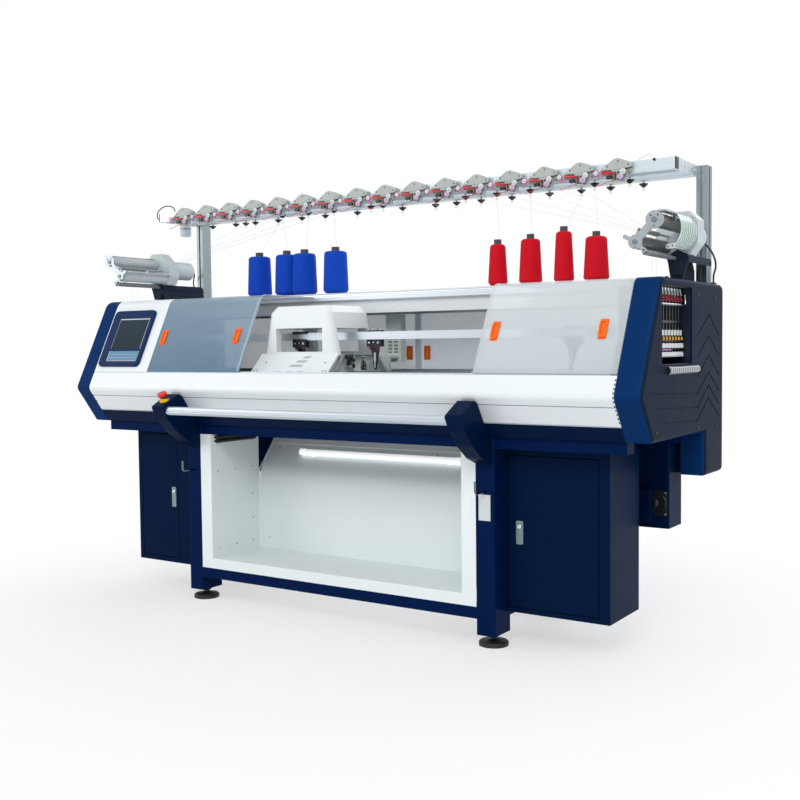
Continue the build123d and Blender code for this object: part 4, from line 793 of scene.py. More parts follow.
def settle(obj):
    """Move an object's place, turn and scale into its mesh."""
    only(obj)
    bpy.ops.object.transform_apply(location=True, rotation=True, scale=True)
    return obj


def soften(obj, width, segments=1):
    """Bevel the sharp edges by a width in millimetres."""
    only(obj)
    edge = obj.modifiers.new("edge", "BEVEL")
    edge.width = width / 1000
    edge.segments = segments
    edge.limit_method = "ANGLE"
    bpy.ops.object.modifier_apply(modifier="edge")
    return obj


def tidy_faces(obj):
    """Merge doubles and point every face outwards."""
    only(obj)
    bpy.ops.object.mode_set(mode="EDIT")
    bpy.ops.mesh.select_all(action="SELECT")
    bpy.ops.mesh.remove_doubles(threshold=1e-6)
    bpy.ops.mesh.normals_make_consistent(inside=False)
    bpy.ops.object.mode_set(mode="OBJECT")
    return obj


def aim(obj, place, towards):
    """Turn an upright piece towards a direction and put it in place."""
    obj.rotation_mode = "QUATERNION"
    obj.rotation_quaternion = Vector((0, 0, 1)).rotation_difference(Vector(towards))
    obj.location = Vector(place) / 1000
    return settle(obj)


print("selection tools ready")

# %% [markdown]
# Most fittings are blocks, round pieces or rings. A block is a cube scaled between two
# corners. A round piece is a circle extruded and resized ring by ring, as a lathe would
# cut it. A ring is a torus. All of them can be turned to face any way.

# %% Tools for blocks and round pieces
def slab(low, high, edge=0.5):
    """A block between two corners with softened edges."""
    fresh()
    bpy.ops.mesh.primitive_cube_add(size=1)
    obj = bpy.context.object
    obj.scale = (Vector(high) - Vector(low)) / 1000
    obj.location = (Vector(high) + Vector(low)) / 2000
    settle(obj)
    return soften(obj, edge) if edge else obj


def turned(rings, place=(0, 0, 0), towards=(0, 0, 1), sides=16):
    """A round piece grown ring by ring; each ring is a radius and a height."""
    fresh()
    bpy.ops.mesh.primitive_circle_add(
        vertices=sides, radius=rings[0][0] / 1000, fill_type="NGON", location=(0, 0, rings[0][1] / 1000))
    obj = settle(bpy.context.object)
    bpy.ops.object.mode_set(mode="EDIT")
    bpy.ops.mesh.select_all(action="SELECT")
    for (radius, height), (next_radius, next_height) in zip(rings, rings[1:]):
        bpy.ops.mesh.extrude_region_move(
            TRANSFORM_OT_translate={"value": (0, 0, (next_height - height) / 1000)})
        grow = next_radius / radius
        bpy.ops.transform.resize(value=(grow, grow, 1), center_override=(0, 0, 0))
    bpy.ops.object.mode_set(mode="OBJECT")
    return aim(tidy_faces(obj), place, towards)


def ring(place, towards, radius, thickness, sides=20):
    """A torus with its axis along a direction."""
    fresh()
    bpy.ops.mesh.primitive_torus_add(
        major_radius=radius / 1000, minor_radius=thickness / 2000, major_segments=sides, minor_segments=6)
    return aim(bpy.context.object, place, towards)


print("block tools ready")

# %% [markdown]
# Sheet pieces are cut to an outline and extruded by their thickness, as a sheet shop would
# do. Wires and threads are curves with a round bevel, made a mesh at once, because a curve
# keeps its bends with few points.

# %% Tools for sheets and wires
def cut_plate(points, thickness, depth=0.0, edge=0.0):
    """A flat piece cut to an outline given across and up, then grown towards the front."""
    mesh = bpy.data.meshes.new("plate")
    corners = [(x / 1000, depth / 1000, z / 1000) for x, z in points]
    mesh.from_pydata(corners, [], [list(range(len(points)))])
    obj = bpy.data.objects.new("plate", mesh)
    bpy.context.scene.collection.objects.link(obj)
    only(obj)
    bpy.ops.object.mode_set(mode="EDIT")
    bpy.ops.mesh.select_all(action="SELECT")
    bpy.ops.mesh.extrude_region_move(TRANSFORM_OT_translate={"value": (0, -thickness / 1000, 0)})
    bpy.ops.object.mode_set(mode="OBJECT")
    tidy_faces(obj)
    return soften(obj, edge) if edge else obj


def side_sheet(outline, x, thickness):
    """A sheet standing across the machine, cut to points given as depth and height."""
    sheet = cut_plate(outline, thickness)
    sheet.rotation_euler = (0, 0, math.pi / 2)
    sheet.location = (x / 1000, 0, 0)
    return settle(sheet)


def wires(runs, thickness, rounding=0):
    """Wires or threads of one thickness, each along its list of points."""
    data = bpy.data.curves.new("wires", "CURVE")
    data.dimensions = "3D"
    data.bevel_depth = thickness / 2000
    data.bevel_resolution = rounding
    data.use_fill_caps = True
    for run in runs:
        line = data.splines.new("POLY")
        line.points.add(len(run) - 1)
        for point, spot in zip(line.points, run):
            point.co = (*[value / 1000 for value in spot], 1)
    obj = bpy.data.objects.new("wires", data)
    bpy.context.scene.collection.objects.link(obj)
    only(obj)
    bpy.ops.object.convert(target="MESH")
    return tidy_faces(bpy.context.object)


print("sheet tools ready")

# %% [markdown]
# What repeats is modelled once. Copies get their own mesh, moved by an offset, and the
# machine's two ends mirror each other. Pieces of one finish that never part are joined,
# smoothed by angle, given a material and told which body they ride on.

# %% Tools that copy and finish
def repeat(pieces, offsets):
    """Copies of finished pieces, each with its own mesh, moved by millimetres."""
    copies = []
    for offset in offsets:
        for piece in pieces:
            twin = piece.copy()
            twin.data = piece.data.copy()
            twin.data.transform(Matrix.Translation(Vector(offset) / 1000))
            bpy.context.scene.collection.objects.link(twin)
            copies.append(twin)
    for piece in pieces:
        bpy.data.objects.remove(piece)
    return copies


def both_sides(pieces):
    """The pieces and their mirror images at the machine's other end."""
    twins = []
    for piece in pieces:
        twin = piece.copy()
        twin.data = piece.data.copy()
        twin.data.transform(Matrix.Diagonal((-1, 1, 1, 1)))
        bpy.context.scene.collection.objects.link(twin)
        twins.append(tidy_faces(twin))
    return pieces + twins


def finished(name, pieces, finish, body="machine"):
    """Join pieces of one finish, smooth them and let them ride on a body."""
    fresh()
    for piece in pieces:
        piece.select_set(True)
    bpy.context.view_layer.objects.active = pieces[0]
    if len(pieces) > 1:
        bpy.ops.object.join()
    obj = bpy.context.object
    obj.name = name
    obj.data.name = name
    obj.data.materials.clear()
    obj.data.materials.append(finish.material)
    bpy.ops.object.shade_smooth_by_angle(angle=math.radians(35))
    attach(obj, body)
    return obj


print("copy tools ready")

# %% [markdown]
# A small piece must sit on the solid below it. A probe sent from outside finds the first
# face it meets, so a screw's place and the way it looks are measured instead of guessed.

# %% Tools that probe the solids
def touch(node, start, towards):
    """Where a straight probe first meets a CAD node, and the way its face looks."""
    hit, point, normal, _ = nodes[node].ray_cast(Vector(start) / 1000, Vector(towards))
    if not hit:
        raise ValueError(f"the probe from {start} misses {node}")
    return tuple(point * 1000), tuple(normal)


def screw(place, towards, radius=4.0):
    """A pan-head screw with a round recess."""
    height = radius * 0.55
    rings = [
        (radius, -0.4), (radius, height * 0.5), (radius * 0.75, height), (radius * 0.4, height),
        (radius * 0.35, height * 0.4)]
    return turned(rings, place, towards, 12)


def screws_on(node, starts, towards, radius=4.0):
    """Screws set on a CAD node where probes meet it."""
    return [screw(*touch(node, start, towards), radius) for start in starts]


print("probe tools ready")

# %% [markdown]
# A few more finishes serve the small pieces: bright and dark plastics, brass, copper-brown
# springs, glazed ceramic eyelets and the threads. All come from the two functions above.

# %% Small finishes
glossy_red = moulded("glossy_red", tint(196, 18, 38), 0.28, 0.00005)
magenta = moulded("magenta_ceramic", tint(206, 60, 150), 0.22, 0.00003)
purple = moulded("purple_ceramic", tint(150, 70, 150), 0.24, 0.00003)
pale_purple = moulded("pale_purple_ceramic", tint(196, 166, 200), 0.24, 0.00003)
ceramic_white = moulded("white_ceramic", tint(208, 213, 214), 0.25, 0.00003)
glossy_black = moulded("glossy_black", tint(20, 21, 24), 0.3, 0.00005)
knob_grey = moulded("knob_grey", tint(128, 134, 136), 0.35, 0.00005)
pale_grey = moulded("pale_grey", tint(178, 184, 186), 0.35, 0.00005)
brass = metal("brass", tint(188, 150, 70), 0.28, (1, 1, 1), 90.0, 0.00001)
spring_brown = metal("spring_brown", tint(140, 112, 92), 0.3, (1, 1, 1), 90.0, 0.00001)
blue_thread = moulded("blue_thread", tint(176, 186, 208), 0.8)
red_thread = moulded("red_thread", tint(214, 186, 190), 0.8)
white_thread = moulded("white_thread", tint(206, 210, 216), 0.8)
bright_thread = moulded("bright_thread", tint(222, 40, 60), 0.8)
# The rear pulls' orange is the handles' orange made brighter: painted light against the shade inside.
bright_orange = moulded("bright_orange", tint(255, 124, 16), 0.35, 0.00005)
print("finishes ready")

# %% [markdown]
# Each tension unit holds a yarn back evenly: a lever drops when a thread breaks, three
# springs press the discs, and ceramic eyelets guide the thread in. One unit's fittings are
# modelled at the middle of the machine and copied along the rail at the units' pitch.

# %% Tension unit fittings
FIRST_UNIT = -1147.0
UNIT_PITCH = 146.8
UNIT_COUNT = 16
stand_top = span("yarn_rail")[1][2] * 1000
unit_places = [(FIRST_UNIT + UNIT_PITCH * i, 0, 0) for i in range(UNIT_COUNT)]


def unit_point(x, y, z):
    """A point of the middle unit, with its height below the rail's top."""
    return (x, y, stand_top + z)


lever_outline = (
    (-56, -33), (-52, -29), (-22, -34), (-8, -36), (-6, -41), (-30, -42), (-54, -40))
lever = cut_plate([(x, stand_top + z) for x, z in lever_outline], 7, 116, 0.8)
arm_run = (
    (-8, 114, -66), (-24, 110, -69), (-44, 104, -77), (-60, 99, -84), (-66, 97, -82), (-68, 98, -77))
lever_arm = wires([[unit_point(*point) for point in arm_run]], 2.4, 1)
finished("unit_levers", repeat([lever, lever_arm], unit_places), glossy_red)
SPRING_TURNS = 9
SPRING_RADIUS = 5.6
SPRING_LENGTH = 28
coil = []
for x in (-10, 2, 14):
    coil.append([unit_point(
        x + SPRING_RADIUS * math.cos(step * math.pi / 3),
        119.7 + SPRING_RADIUS * math.sin(step * math.pi / 3),
        -36 - SPRING_LENGTH * step / (6 * SPRING_TURNS)) for step in range(6 * SPRING_TURNS + 1)])
finished("unit_springs", repeat([wires(coil, 1.8)], unit_places), spring_brown)
print("levers and springs on", len(unit_places), "units")

# %% [markdown]
# Each unit's face has two eyelets, three white washers, a pale disc, a knob, a stem, small
# dark screws and a black block. Most are turned pieces, so each one is a list of rings.

# %% Tension unit eyelets and knobs
TOWARDS_FRONT = (0, -1, 0)
rings_near = [
    ring(unit_point(-75, 107, -35), (0, 1, 0), 9.5, 3.0),
    ring(unit_point(-66, 106, -50), (0.3, 1, 0), 7.0, 2.4),
]
finished("unit_eyelets", repeat(rings_near, unit_places), magenta)
washers = [
    turned([(9, 0), (9, 1.5), (7, 2.6), (3, 2.6), (2.4, 5)],
           unit_point(-75, 107.6, -35), TOWARDS_FRONT, 18),
    turned([(11, 0), (11, 2), (8, 4), (4, 4), (3.4, 8), (1.5, 9)],
           unit_point(29, 107.6, -37), TOWARDS_FRONT, 18),
    turned([(4, 0), (4, 3), (3, 4)], unit_point(-40, 112, -20), TOWARDS_FRONT, 12),
]
finished("unit_washers", repeat(washers, unit_places), ceramic_white)
disc_rings = [(11.4, 0), (11.4, 1.6), (8, 3.6), (3, 3.6), (2.4, 7)]
disc = turned(disc_rings, unit_point(19, 107.6, -54), TOWARDS_FRONT, 18)
finished("unit_discs", repeat([disc], unit_places), pale_purple)
knob_rings = [(3, 0), (3, 4), (5, 5), (5, 12), (4, 13)]
knob = turned(knob_rings, unit_point(50, 124, -40), TOWARDS_FRONT, 14)
stem = turned([(2, 0), (2, 9), (3.4, 10), (3.4, 14)], unit_point(-30, 126, -52), TOWARDS_FRONT, 12)
finished("unit_knobs", repeat([knob, stem], unit_places), knob_grey)
dot_places = ((48, 112, -13), (-34, 112, -14), (8, 112, 2))
dots = [screw(unit_point(*place), TOWARDS_FRONT, 2.6) for place in dot_places]
block_black = slab(unit_point(-36, 108, -60), unit_point(-14, 124, -48), 1.5)
finished("unit_black_parts", repeat(dots + [block_black], unit_places), glossy_black)
print("units fitted", len(unit_places))

# %% [markdown]
# Under the rail every black eyelet disc carries a small wire loop that the yarn runs
# through. The discs stand in two rows, as on the real rail. Plugs close the front channel,
# screws and bolts hold the rail and the posts, and one wire arm bends over the rail's end.

# %% Rail loops and end parts
stand_low_mm = stand_top - CHANNEL_HEIGHT * 1000
middle_depth = 225
rear_depth = 352
loop_radius = 5
middle_row = (-614, -462, -317, -114, -51, 221, 360, 505, 654, 925, 1065)
rear_row = (
    -1173, -1017, -953, -891, -747, -601, -463, -279, -34, 137, 242, 362, 507, 677, 815, 938, 1071)
eyelets = [(x, middle_depth, 0) for x in middle_row] + [(x, rear_depth, 0) for x in rear_row]
loop_run = [(0, 0, stand_low_mm - 20), (0, 0, stand_low_mm - 25)]
loop_run += [
    (loop_radius * math.sin(angle), 0, stand_low_mm - 30 + loop_radius * math.cos(angle))
    for angle in [2 * math.pi * i / 12 for i in range(13)]]
finished("rail_loops", repeat([wires([loop_run], 1.8)], eyelets), chrome)
plug = slab((1269, 131, stand_low_mm - 0.6), (1274.5, 159, stand_top + 0.6), 1.0)
left_plug = slab((-1321.5, 131, stand_low_mm - 0.6), (-1316, 159, stand_top + 0.6), 1.0)
arm_knob = turned([(3, 0), (5, 2), (5, 9), (3, 11)], (1189, 131, stand_top + 1), (0.8, 0, -0.6), 12)
finished("rail_plugs", [plug, left_plug, arm_knob], glossy_black)
arm_wire = wires([[
    (1128, 138, stand_top - 2), (1146, 136, stand_top + 10), (1172, 132, stand_top + 19),
    (1184, 131, stand_top + 11), (1190, 131, stand_top)]], 2.4, 1)
post_screws = [screw((1271.6, y, stand_low_mm + 20), (1, 0, 0), 5) for y in (190, 230, 300, 345)]
corner_bolts = [
    screw((side * 1268, y, z), (-side, 0, 0), 4.5)
    for side in (-1, 1) for y in (388, 420) for z in (1345, 1460, 1600)]
finished("rail_bolts", [arm_wire] + post_screws + corner_bolts, chrome)
print("loops", len(eyelets))

# %% [markdown]
# The yarn leaves each package upwards, passes a loop under the rail and a tension unit, and
# then runs out to a feeder at the machine's end. Threads are thin, so a light tube will do.
# The tubes are one node, so its points are sorted along x and parted where a gap shows.

# %% Yarn threads
TUBE_GAP = 20
tube_points = [tuple(vertex.co * 1000) for vertex in nodes["cone_tubes"].data.vertices]
tube_groups = []
for point in sorted(tube_points):
    if not tube_groups or point[0] - tube_groups[-1][-1][0] > TUBE_GAP:
        tube_groups.append([])
    tube_groups[-1].append(point)
tube_tops = []
for group in tube_groups:
    lows = [min(axis) for axis in zip(*group)]
    highs = [max(axis) for axis in zip(*group)]
    tube_tops.append(((lows[0] + highs[0]) / 2, (lows[1] + highs[1]) / 2, highs[2]))
loop_spots = [(x, y, stand_low_mm - 34) for x, y, _ in eyelets]
blue_runs, red_runs = [], []
for top in tube_tops:
    loop = min(loop_spots, key=lambda spot: abs(spot[0] - top[0] - 18) + abs(spot[1] - top[1]) * 0.3)
    unit = min(unit_places, key=lambda spot: abs(spot[0] - loop[0]))[0]
    run = [(top[0] + 8, top[1], top[2] - 2), loop, unit_point(unit - 75, 105, -35)]
    run += [unit_point(unit + 29, 103, -37), unit_point(unit + 10, 102, -84)]
    side = 1 if top[0] > 0 else -1
    run += [(side * 1236, 60, 1470), (side * 1236, -60, 1452)]
    (red_runs if side > 0 else blue_runs).append(run)
finished("blue_threads", [wires(blue_runs, 0.9)], blue_thread)
finished("red_threads", [wires(red_runs, 0.9)], red_thread)
down = [
    [(side * 1270, -100 + 12 * i, 1400), (side * 1272, -96 + 12 * i, 1312)]
    for side in (-1, 1) for i in (0, 3)]
finished("feed_threads", [wires(down, 0.8)], white_thread)
print("threads from", len(tube_tops), "packages")

# %% [markdown]
# A side feeder pulls yarn between two driven rollers. Its front plate carries bolts, a comb
# bar keeps the threads apart below the lower roller, and a sleeve turns on the upper rod.

# %% Feeder fittings
UPPER_X = 1312
UPPER_Z = 1497
LOWER_X = 1246
LOWER_Z = 1428
ROD_X = 1261
ROD_Z = 1466
PLATE_Y = -195
ARM_Y = -88
bolts = [
    turned([(9, 0), (9, 4), (7, 6), (4, 6), (4, 3)], (UPPER_X, PLATE_Y, UPPER_Z), TOWARDS_FRONT, 18),
    turned([(8, 0), (8, 4), (6, 6), (3.5, 6), (3.5, 3)], (LOWER_X, PLATE_Y, LOWER_Z), TOWARDS_FRONT, 18),
    turned([(8, 0), (8, 9), (6, 11), (3, 11), (3, 8)], (1346, ARM_Y, 1508), TOWARDS_FRONT, 18),
]
finished("feeder_bolts", both_sides(bolts), bolt_steel)
pad_outline = [
    (1316, 1408), (1313, 1412), (1313, 1420), (1317, 1425),
    (1341, 1427), (1345, 1423), (1345, 1413), (1341, 1408)]
pad = cut_plate(pad_outline, 6, -82, 1.2)
finished("feeder_pads", both_sides([pad]), ceramic_white)
plate_marks = ((1300, 1511), (1324, 1511), (1276, 1399), (ROD_X, ROD_Z))
marks = [screw((x, ARM_Y, z), TOWARDS_FRONT, 2.6) for x, z in ((1321, 1416), (1337, 1418))]
marks += [screw((x, PLATE_Y, z), TOWARDS_FRONT, 3.0) for x, z in plate_marks]
top_marks = [screw((1336, y, 1528), (0, 0, 1), 4) for y in (-140, -20, 70)]
finished("feeder_screws", both_sides(marks + top_marks), glossy_black)
print("feeder plates fitted")

# %% [markdown]
# The comb's teeth are one block repeated at a pitch. The bright ends of thread on the
# rollers follow a formula: an arc just off the roller's skin that drifts along its axis.

# %% Feeder combs and roller threads
sleeve = turned([(5, 0), (8.5, 1), (8.5, 138), (5, 139)], (ROD_X, -160, ROD_Z), (0, 1, 0), 16)
comb = slab((1266, -184, 1389), (1292, 84, 1394), 1.0)
tooth = slab((1268, -180, 1384), (1290, -174, 1389.5), 0.6)
teeth = repeat([tooth], [(0, 16.2 * i, 0) for i in range(17)])
finished("feeder_combs", both_sides([sleeve, comb] + teeth), knob_grey)
THREAD_RADIUS = 24.6


def roller_thread(side, x, y, z):
    """A thread laid over a roller, drifting along its axis."""
    return [
        (side * (x + THREAD_RADIUS * math.sin(angle)), y + 8 * angle, z + THREAD_RADIUS * math.cos(angle))
        for angle in (-0.9, -0.4, 0.1, 0.6, 1.1)]


thread_lines = [roller_thread(side, LOWER_X, y, LOWER_Z) for side in (-1, 1) for y in (-130, -70)]
thread_lines += [roller_thread(side, UPPER_X, -110, UPPER_Z) for side in (-1, 1)]
finished("roller_threads", [wires(thread_lines, 1.2)], bright_thread)
print("combs and threads fitted")

# %% [markdown]
# Behind each side window the yarn ends pass a row of levers, eyelets, wires and blocks. The
# solid holds them all, so heights tell the white and black rows apart, and what lies at
# the pocket's walls gets the dark lining.

# %% Side pocket finish
pocket = Finish("pocket_parts", 0.4)
inner = pocket.within(abs(pocket.x), 1.2935, 1.3315)
inner = inner * pocket.within(pocket.y, -0.1925, 0.1065)
inner = inner * pocket.within(pocket.z, 1.0215, 1.2815)
white_rows = pocket.within(pocket.z, 1.118, 1.137)
for row_low, row_high in ((1.073, 1.083), (1.043, 1.057)):
    white_rows = white_rows + pocket.within(pocket.z, row_low, row_high)
black_rows = pocket.z > 1.2545
for row_low, row_high in ((1.16, 1.17), (1.111, 1.118)):
    black_rows = black_rows + pocket.within(pocket.z, row_low, row_high)
wire_grey = pocket.mix(pocket.noise(60.0), tint(120, 124, 126), tint(150, 154, 156))
parts_colour = pocket.mix(white_rows, wire_grey, tint(206, 208, 206))
parts_colour = pocket.mix(black_rows, parts_colour, tint(16, 17, 20))
lining = pocket.mix(pocket.noise(12.0), tint(14, 22, 40), tint(20, 30, 52))
pocket.put("Base Color", pocket.mix(inner, lining, parts_colour))
pocket.put("Metallic", inner * (1 - white_rows) * (1 - black_rows) * 0.8)
dress("side_tensioners", pocket)
print("pocket dressed")

# %% [markdown]
# The small parts of the pocket are many, so each is modelled once at the first wire and
# repeated at the wires' pitch: marks and backing bars on top, eyelets, beads and blocks
# below, and one bent bar across.

# %% Side pocket
row_pitch = [(0, 30.6 * i, 0) for i in range(9)]
first_y = -165.4
mark = slab((1306, first_y - 7, 1270), (1309, first_y + 5, 1281), 1.5)
mark_rod = wires([[(1308, first_y, 1272), (1310, first_y, 1256)]], 2.6)
finished("pocket_marks", both_sides(repeat([mark, mark_rod], row_pitch)), chrome)
backing = slab((1300, -189, 1268), (1306, 104, 1283), 1.0)
bead_bar = slab((1303, -189, 1097), (1308, 104, 1117), 1.0)
finished("pocket_backings", both_sides([backing, bead_bar]), glossy_black)
eyes = [
    ring((1306, first_y, 1250), (1, 0.5, 0), 6.5, 3.4, 14),
    ring((1306, first_y + 8, 1241), (1, -0.5, 0), 5.0, 2.6, 14),
]
finished("pocket_eyelets", both_sides(repeat(eyes, row_pitch)), glossy_red)
bead = turned([(3, 0), (5, 2), (5, 12), (3, 14)], (1311, first_y, 1100), (0, 0, 1), 12)
finished("pocket_beads", both_sides(repeat([bead], row_pitch)), brass)
bent_run = [(1322, y, z) for y, z in ((-190, 1224), (78, 1224), (86, 1226), (88, 1232), (80, 1260))]
bent = wires([bent_run], 5.0, 1)
finished("pocket_bars", both_sides([bent]), chrome)
purple_bar = slab((1307, -189, 1066), (1312, -20, 1072), 1.0)
finished("pocket_purple", both_sides([purple_bar]), purple)
strip = slab((1308, -189, 1046), (1314, 92, 1061), 1.2)
blocks = repeat([slab((1307, first_y - 12, 1074), (1315, first_y + 12, 1091), 2.0)], row_pitch)
finished("pocket_whites", both_sides([strip] + blocks), ceramic_white)
print("pocket rows", len(row_pitch))

# %% [markdown]
# Screws hold the covers, the bay's sheets, the table and the rear panels. A probe finds the
# face that each one sits on and the way it looks, so no screw floats or sinks.

# %% Screws
cover_heads = []
for y, z in ((172, 1260), (376, 1262), (178, 785), (392, 783), (-250, 800)):
    cover_heads += screws_on("right_end_cover", [(1500, y, z)], (-1, 0, 0), 5)
    cover_heads += screws_on("left_end_cover", [(-1500, y, z)], (1, 0, 0), 5)
finished("cover_screws", cover_heads, glossy_black)
bay_heads = []
for y in (-230, -120, -10):
    for z in (230, 330, 440, 560, 680):
        if z in (230, 560) or y == -10:
            bay_heads += screws_on("bay_liner", [(0, y, z)], (1, 0, 0), 4)
            bay_heads += screws_on("bay_liner", [(0, y, z)], (-1, 0, 0), 4)
bay_heads += screws_on("fabric_chute", [(x, -260, 640) for x in (-560, -280, 0, 280, 560)], (0, 1, 0), 4)
bay_heads += screws_on("fabric_chute", [(x, -260, 240) for x in (-560, 560)], (0, 1, 0), 4)
finished("bay_screws", bay_heads, chrome)
(_, _, rear_low), _ = span("rear_cover")
row_x = range(-1150, 1151, 230)
rear_z_mm = rear_low * 1000 + 40
rear_heads = screws_on("rear_cover", [(x, 700, rear_z_mm) for x in row_x], TOWARDS_FRONT, 5)
box_starts = [(x, 700, z) for x in (800, 1100) for z in (470, 680)]
rear_heads += screws_on("control_box", box_starts, TOWARDS_FRONT, 5)
rear_heads += screws_on("yarn_table", [(x, 340, 1500) for x in row_x], (0, 0, -1), 4)
finished("rear_screws", rear_heads, chrome)
print("screws", len(cover_heads), len(bay_heads), len(rear_heads))

# %% [markdown]
# The carriage cover has three slanted vents and small screws on its sloping plate. A flat
# piece is cut as if it stood upright and then laid on the face that a probe finds, so the
# vents follow the slope. They ride on the carriage and travel with it.

# %% Carriage fittings
def laid(points, thickness, place, towards):
    """A flat cut piece laid on a face: across and up the face, its back to the face."""
    piece = cut_plate(points, thickness)
    piece.rotation_euler = (-math.pi / 2, 0, 0)
    return aim(settle(piece), place, towards)


plate_probe = (0, 1, 0)
vents = []
for centre, half, z in ((-128, 17, 1050), (-144, 24, 1033), (-160, 31, 1016)):
    place, face = touch("carriage_cover", (centre, -600, z), plate_probe)
    vents.append(laid([(-half - 5, -6), (half - 5, -6), (half + 5, 6), (-half + 5, 6)], 1.0, place, face))
finished("carriage_vents", vents, pale_grey, "carriage")
plate_heads = screws_on("carriage_cover", [(x, -600, z) for x, z in (
    (-330, 1030), (-22, 1028), (-368, 996), (-352, 996), (-10, 996), (4, 996))], plate_probe, 3.4)
finished("carriage_screws", plate_heads, knob_grey, "carriage")
print("carriage vents", len(vents))

# %% [markdown]
# On the carriage's right flank stand a slanted sheet with small holes and the grey castings
# that carry the cam works. All are cut sheets that stand across the machine, kept close to
# the flank so that they clear the side pocket when the carriage is at its right end.

# %% Carriage flank
RIGHTWARDS = (1, 0, 0)
casting_outlines = (
    (12, [(-152, 1002), (-144, 1040), (-122, 1056), (-98, 1040), (-90, 1012), (-104, 994), (-138, 992)]),
    (12, [(-46, 998), (-44, 1026), (-32, 1050), (-14, 1044), (-8, 1010), (-20, 992)]),
    (16, [(-134, 1008), (-128, 1030), (-112, 1034), (-104, 1016), (-116, 1002)]),
)
castings = [side_sheet(outline, x, 4) for x, outline in casting_outlines]
finished("cam_castings", castings, knob_grey, "carriage")
flank = side_sheet([(-222, 996), (-170, 1062), (-152, 1062), (-200, 996)], 12, 2.5)
finished("carriage_flank", [flank], pale_grey, "carriage")
holes = [
    turned([(1.8, 0), (1.8, 0.8)], (14.2, -208 + 9 * i + 7 * j, 1001 + 11 * i), RIGHTWARDS, 8)
    for i in range(5) for j in range(2)]
finished("flank_holes", holes, knob_grey, "carriage")
print("flank holes", len(holes))

# %% [markdown]
# The cam works are levers, discs, springs and screws in front of the castings, dark ones
# and bright ones. The rear box, behind the beds, has two columns of vent slots.

# %% Cam works
works_black = [
    slab((12, -152, 1042), (24, -104, 1058), 3.0),
    slab((13, -118, 1030), (22, -90, 1044), 3.0),
    turned([(11, 0), (11, 4), (7, 6), (4, 6)], (16, -134, 1026), RIGHTWARDS, 14),
    turned([(8, 0), (8, 7), (5, 9)], (14, -100, 1014), RIGHTWARDS, 12),
    slab((12, -42, 996), (22, -14, 1012), 2.0),
    slab((13, -34, 1012), (20, -16, 1046), 2.0),
    wires([[(20, -142, 1050), (21, -128, 1034), (21, -112, 1018), (18, -96, 1004)]], 4.0, 1),
    wires([[(19, -20, 1050), (21, -26, 1036), (21, -34, 1020), (19, -40, 1008)]], 4.0, 1),
]
finished("cam_levers", works_black, glossy_black, "carriage")
works_light = [
    turned([(14, 0), (14, 3), (10, 5), (5, 5), (4, 8)], (15, -104, 1048), RIGHTWARDS, 18),
    turned([(10, 0), (10, 2), (7, 3), (3, 3)], (20, -24, 1036), RIGHTWARDS, 16),
    turned([(9, 0), (9, 4), (6, 6), (3, 6)], (16, -122, 1008), RIGHTWARDS, 16),
    slab((12, -146, 990), (18, -92, 999), 1.5),
    slab((12, -40, 1046), (22, -12, 1053), 1.5),
    wires([[(17, -128 + 6 * math.sin(s * 1.05), 1040 - 1.1 * s) for s in range(28)]], 2.0),
]
works_light += [screw(place, RIGHTWARDS, 3.5) for place in ((22, -30, 1004), (20, -25, 1020))]
finished("cam_discs", works_light, chrome, "carriage")
slot_pair = [slab((x, 256.8, 1062), (x + 20, 258.4, 1069), 0.4) for x in (-54, -24)]
slots = repeat(slot_pair, [(0, 0, 15 * i) for i in range(6)])
finished("rear_box_slots", slots, knob_grey, "carriage")
print("cam works", len(works_black) + len(works_light), "slots", len(slots))

# %% [markdown]
# Every yarn carrier has screws on its block, two wire staples on top, two ceramic eyelets
# below and a feed tube that ends between the beds. One set is made for each carrier at its
# own place, because each rides on its own slide.

# %% Yarn carrier fittings
for number in (1, 2, 3):
    low, high = span(f"yarn_carrier_{number}")
    centre = (low[0] + high[0]) * 500
    body = f"carrier_{number}"
    face, _ = touch(f"yarn_carrier_{number}", (centre - 24, -600, 1104), (0, 1, 0))
    near = face[1]
    head_places = ((-22, 1106, 5), (22, 1106, 5), (0, 1108, 3.5))
    heads = [screw((centre + x, near, z), TOWARDS_FRONT, radius) for x, z, radius in head_places]
    staple = ((-7, 1155), (-7, 1160), (-3, 1164), (3, 1164), (7, 1160), (7, 1155))
    over = [wires([[(centre + x + dx, near + 13, z) for dx, z in staple]], 2.0) for x in (-20, 20)]
    finished(f"carrier_{number}_screws", heads + over, chrome, body)
    eyes = [ring((centre + x, near + 6, 1083), (0, 1, 0.3), 5, 3.2, 16) for x in (-20, 20)]
    finished(f"carrier_{number}_eyelets", eyes, glossy_red if number == 2 else purple, body)
    holder = slab((centre - 24, near + 4, 1082), (centre + 24, near + 12, 1091), 1.5)
    finished(f"carrier_{number}_holders", [holder], glossy_black, body)
    tip, _ = touch(f"yarn_carrier_{number}", (centre, -600, 1030), (0, 1, 0))
    tube_rings = [(4.5, 0), (4.5, 20), (6, 22), (6, 30), (3, 40), (2.2, 62)]
    tube = turned(tube_rings, (centre, tip[1] - 1, 1066), (0, 0, -1), 14)
    finished(f"carrier_{number}_tube", [tube], ceramic_white, body)
print("carriers fitted")

# %% [markdown]
# A membrane keypad has low domes in three rows. Each is a small turned piece, set where a
# probe meets the sloping panel.

# %% Keypad
(key_left, _, _), (key_right, _, _) = span("operator_panel")
keys = []
key_pitch = (key_right - key_left) * 1000 / 13
for z in (1040, 1054, 1068):
    for i in range(12):
        place, face = touch("operator_panel", (key_left * 1000 + key_pitch * (i + 1), -700, z), (0, 1, 0))
        keys.append(turned([(3.2, -0.2), (3.0, 0.5), (2.0, 1.0)], place, face, 8))
finished("keypad_keys", keys, moulded("key_domes", tint(206, 176, 170), 0.4))
print("keys", len(keys))

